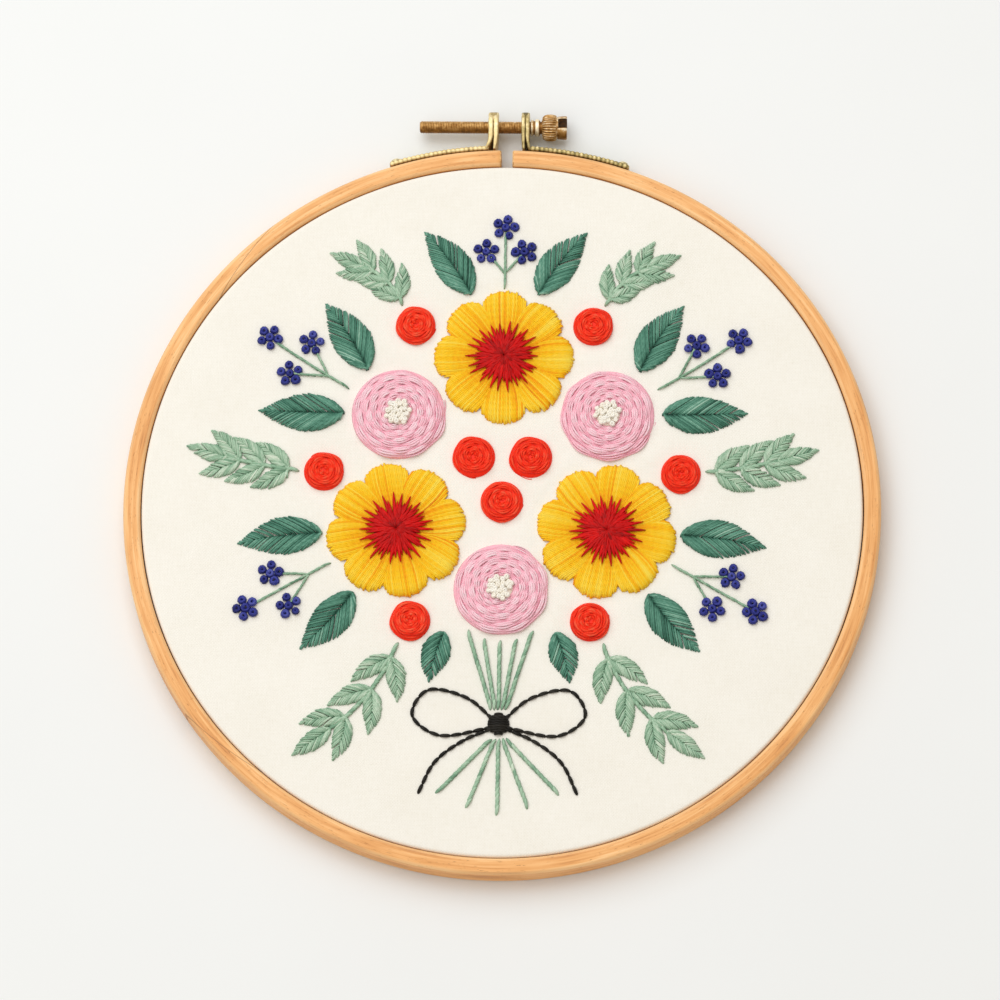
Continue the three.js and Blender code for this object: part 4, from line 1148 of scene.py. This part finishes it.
def coil_knots(x, y, seat, radius, half, tone):
    """For each middle a coil of two and a quarter turns whose radius shrinks and whose height
    grows as it winds, and whose last part dives through the middle."""
    count = len(x)
    way = np.linspace(0, 1, 21)[None]
    size = (radius * rng.normal(1, 0.06, count))[:, None]
    angle = 2 * np.pi * 2.25 * way + rng.random((count, 1)) * ANY_TURN
    dive = np.clip((way - 0.84) / 0.16, 0, 1)
    out = (size - half) * (1 - 0.5 * way**1.5) * (1 - 0.85 * dive)
    flat = 1 + 0.1 * np.cos(angle + 1.3)
    z = seat[:, None] + half * 0.8 + 1.6 * half * np.clip(way * 1.3, 0, 1) - dive * half * 1.8
    z = z - 0.5 * np.clip(0.08 - way, 0, 1) / 0.08
    at_x, at_y = x[:, None] + out * flat * np.cos(angle), y[:, None] + out / flat * np.sin(angle)
    # Painted light and shade: the coil is lighter as it climbs and darker where it dives into the
    # middle
    shade = tone + rng.normal(0, 0.06, (count, 1)) + 0.25 * np.clip(way, 0, 0.8) - 0.6 * dive
    wide = half * (1 - 0.35 * dive)
    return threads(np.stack([at_x, at_y, z], -1), wide, half * 0.9, shade)


parts = []
for x, y in ROSES:
    # Middles by the sunflower rule: the angle grows evenly, the radius as a square root
    number = np.arange(KNOTS_EACH)
    out = KNOTS_RADIUS * 0.93 * np.sqrt((number + 0.5) / KNOTS_EACH)
    angle = np.radians(SUNFLOWER_DEGREES) * number + rng.normal(0, 0.12, KNOTS_EACH)
    at_x, at_y = x + out * np.cos(angle), y + out * np.sin(angle)
    seat = KNOT_SEAT + 0.25 * (1 - (out / KNOTS_RADIUS) ** 2) + rng.normal(0, 0.07, KNOTS_EACH)
    parts.append(coil_knots(at_x, at_y, seat, radius=0.9, half=0.34, tone=0.6))
    parts.append(under_dome(x, y, KNOTS_RADIUS + 0.3, crest=KNOT_SEAT + 0.5, dip=0.0, tone=0.5))
white = floss("white_floss", "#eadfc6", "#fbf3e2", "#fffaee", "#fffdf6", gloss=0.6, flank_shade=0.1)
knots = add_stitched("white_knots", parts, white)
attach(knots, "hoop")
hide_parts("rose_left_knots", "rose_right_knots", "rose_low_knots")


# ------------------------------------------------------------------ coral buds
# Nine small woven wheels in a thick coral floss, on nine spokes, wound right to the middle,
# which leaves them a little uneven.

BUD_SPOKES = 9
BUD_TURNS = 5
BUD_CREST = 9.45
parts = []
for x, y, radius in BUDS:
    shape = dict(inner=0.5, outer=radius - 0.65, turns=BUD_TURNS, spokes=BUD_SPOKES, strands=2)
    shape |= dict(crest=BUD_CREST, dip=0.25, wave=0.2, half=0.33, tone=0.5)
    parts.append(wound(x, y, **shape))
    parts.append(under_dome(x, y, radius - 0.35, crest=BUD_CREST - 0.15, dip=0.2, tone=0.45))
coral = floss("coral_floss", "#d81806", "#fb2e10", "#ff4020", "#ff6c48", flank_shade=0.12)
buds = add_stitched("coral_buds", parts, coral)
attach(buds, "hoop")
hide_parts(*[f"bud_{n}" for n in range(1, 10)])


# ------------------------------------------------------------------ navy berries
# Five sprigs, each with a thin stalk that forks to three heads. A head is five plump navy
# knots set round a sixth.

SPRIGS = [(0, 64.4, 90, 18, 0, 0), (43.4, 34.6, 30, 27, 0, 6), (47.6, -16.6, -30, 27, 0, 0)]
BERRY_OUT = 5.4
HEAD_RING = 2.5
stalk_parts, heads = [], []
for place in both_sides(SPRIGS):
    share = np.linspace(0, 1, 40)
    stalk_parts.append(stem_stitch(*along_arc(place, share[:38]), half=0.45, tone=0.35))
    fork_x, fork_y = along_arc(place, 0.25)
    heads.append(along_arc(place, 1.0))
    for side in (1, -1):
        head = along_arc(place, 0.6, side * BERRY_OUT)
        heads.append(head)
        twig_x, twig_y = (f + (h - f) * share for f, h in zip((fork_x, fork_y), head))
        stalk_parts.append(stem_stitch(twig_x, twig_y, half=0.42, tone=0.4, lift=0.06))
heads = np.array(heads)
angle = np.radians(72 * np.arange(5))[None] + rng.random((len(heads), 1)) * 1.2
ring_x = heads[:, :1] + HEAD_RING * np.cos(angle)
ring_y = heads[:, 1:] + HEAD_RING * np.sin(angle)
knot_x = np.concatenate([ring_x.ravel(), heads[:, 0]])
knot_y = np.concatenate([ring_y.ravel(), heads[:, 1]])
seat = CLOTH_TOP + 0.05 + 0.12 * (np.arange(len(knot_x)) >= ring_x.size)
navy = floss("navy_floss", "#10143c", "#262c76", "#353c94", "#6068b8")
parts = [coil_knots(knot_x, knot_y, seat, radius=1.42, half=0.44, tone=0.45)]
berries = add_stitched("navy_berries", parts, navy)
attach(berries, "hoop")
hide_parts(*[f"sprig_{n}" for n in range(1, 6)])
twigs = add_stitched("berry_stalks", stalk_parts, sage)
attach(twigs, "hoop")


# ------------------------------------------------------------------ stalks of the posy
# Five lines of sage stem stitch, which draw together where the bow ties them and spread again
# below it.

WAIST_Y = -63.0
WAIST_PITCH = 1.0
BOW_CLEAR = 4.2
STALKS = [((-9, -36), (-17, -83)), ((-4.5, -38.4), (-8.5, -87)), ((0, -38.9), (0, -89))]
STALKS += [((4.5, -38.4), (8.5, -87)), ((9, -36), (17, -83))]
parts = []
for n, (top, end) in enumerate(STALKS):
    waist = WAIST_PITCH * (n - 2)
    for (x0, y0), (x1, y1) in (
        (top, (waist, WAIST_Y + BOW_CLEAR)), ((waist, WAIST_Y - BOW_CLEAR), end)
    ):
        share = np.linspace(0, 1, 60)
        line = (x0 + (x1 - x0) * share, y0 + (y1 - y0) * share)
        odd = n % 2
        parts.append(stem_stitch(*line, half=0.7, tone=0.42 + 0.05 * odd, lift=0.05 * odd))
stalks = add_stitched("posy_stalks", parts, sage)
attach(stalks, "hoop")
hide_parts("stalks_upper", "stalks_lower")


# ------------------------------------------------------------------ black bow
# Two loops and two tails in black backstitch, a single line of even stitches that meet end to
# end in the same hole, and a small satin-stitched knot over the place where they cross.

BOW_LOOP = [(1, 0.8), (9, 7.5), (20, 9.5), (24, 2.5), (17, -3.2), (1, -0.8)]
BOW_TAIL = [(1, -1), (10, -5), (17.5, -11), (22, -20)]
BACKSTITCH = 3.1


def smooth_line(points, steps=24):
    """A curve through points: each stretch is a cubic whose end slopes weigh the neighbours by
    the square roots of their distances."""
    p = np.array(points, float)
    p = np.concatenate([[2 * p[0] - p[1]], p, [2 * p[-1] - p[-2]]])
    gap = np.sqrt(np.linalg.norm(np.diff(p, axis=0), axis=1))[:, None]
    step = np.diff(p, axis=0) / gap
    wide = (p[2:] - p[:-2]) / (gap[1:] + gap[:-1])
    slope = step[:-1] - wide + step[1:]
    t = np.linspace(0, 1, steps)[None, :, None]
    a, b = p[1:-2, None], p[2:-1, None]
    rise_a, rise_b = (slope[:-1] * gap[1:-1])[:, None], (slope[1:] * gap[1:-1])[:, None]
    curve = (2 * t**3 - 3 * t**2 + 1) * a + (t**3 - 2 * t**2 + t) * rise_a
    curve = curve + (3 * t**2 - 2 * t**3) * b + (t**3 - t**2) * rise_b
    return curve.reshape(-1, 2).T


def backstitch(x, y, half, tone):
    """Stitches of even length end to end, thick in the middle and pinched at both holes."""
    length = np.hypot(np.diff(x), np.diff(y)).sum()
    count = int(round(length / BACKSTITCH))
    hole = np.linspace(0, length, count + 1)
    way = np.array([[0.015, 0.1, 0.3, 0.5, 0.7, 0.9, 0.985]])
    at_x, at_y, _, _ = line_points(x, y, hole[:-1, None] + np.diff(hole)[:, None] * way)
    z = CLOTH_TOP + np.array([-0.3, 0.3, 0.5, 0.55, 0.5, 0.3, -0.3]) + 0 * at_x
    wide = half * np.array([0.55, 0.82, 1.0, 1.02, 1.0, 0.82, 0.55])
    return threads(np.stack([at_x, at_y, z], -1), wide, 0.34, tone + rng.normal(0, 0.08, count))


parts = []
for side in (1, -1):
    for points in (BOW_LOOP, BOW_TAIL):
        x, y = smooth_line([(side * px, WAIST_Y + py) for px, py in points])
        keep = np.concatenate([[True], np.hypot(np.diff(x), np.diff(y)) > 1e-6])
        parts.append(backstitch(x[keep], y[keep], half=0.52, tone=0.4))
turn = np.linspace(-1, 1, 9)[:, None]
way = np.linspace(-1, 1, 7)[None]
x = 2.9 * np.sqrt(1 - (turn * 0.93) ** 2) * way
y = WAIST_Y + 2.75 * turn + 0 * way
arch = np.sqrt(np.clip(1 - way**2 * 0.98, 0, 1))
z = CLOTH_TOP + 0.1 + 1.15 * arch * (1 - 0.3 * turn**2) + 0 * x
shade = 0.45 + rng.normal(0, 0.06, len(turn))
parts.append(threads(np.stack([x, y, z], -1), half_width=0.45, half_height=0.32, tone=shade))
black = floss("black_floss", "#060504", "#181611", "#28251f", "#4d4a42")
bow = add_stitched("black_bow", parts, black)
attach(bow, "hoop")
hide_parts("bow")
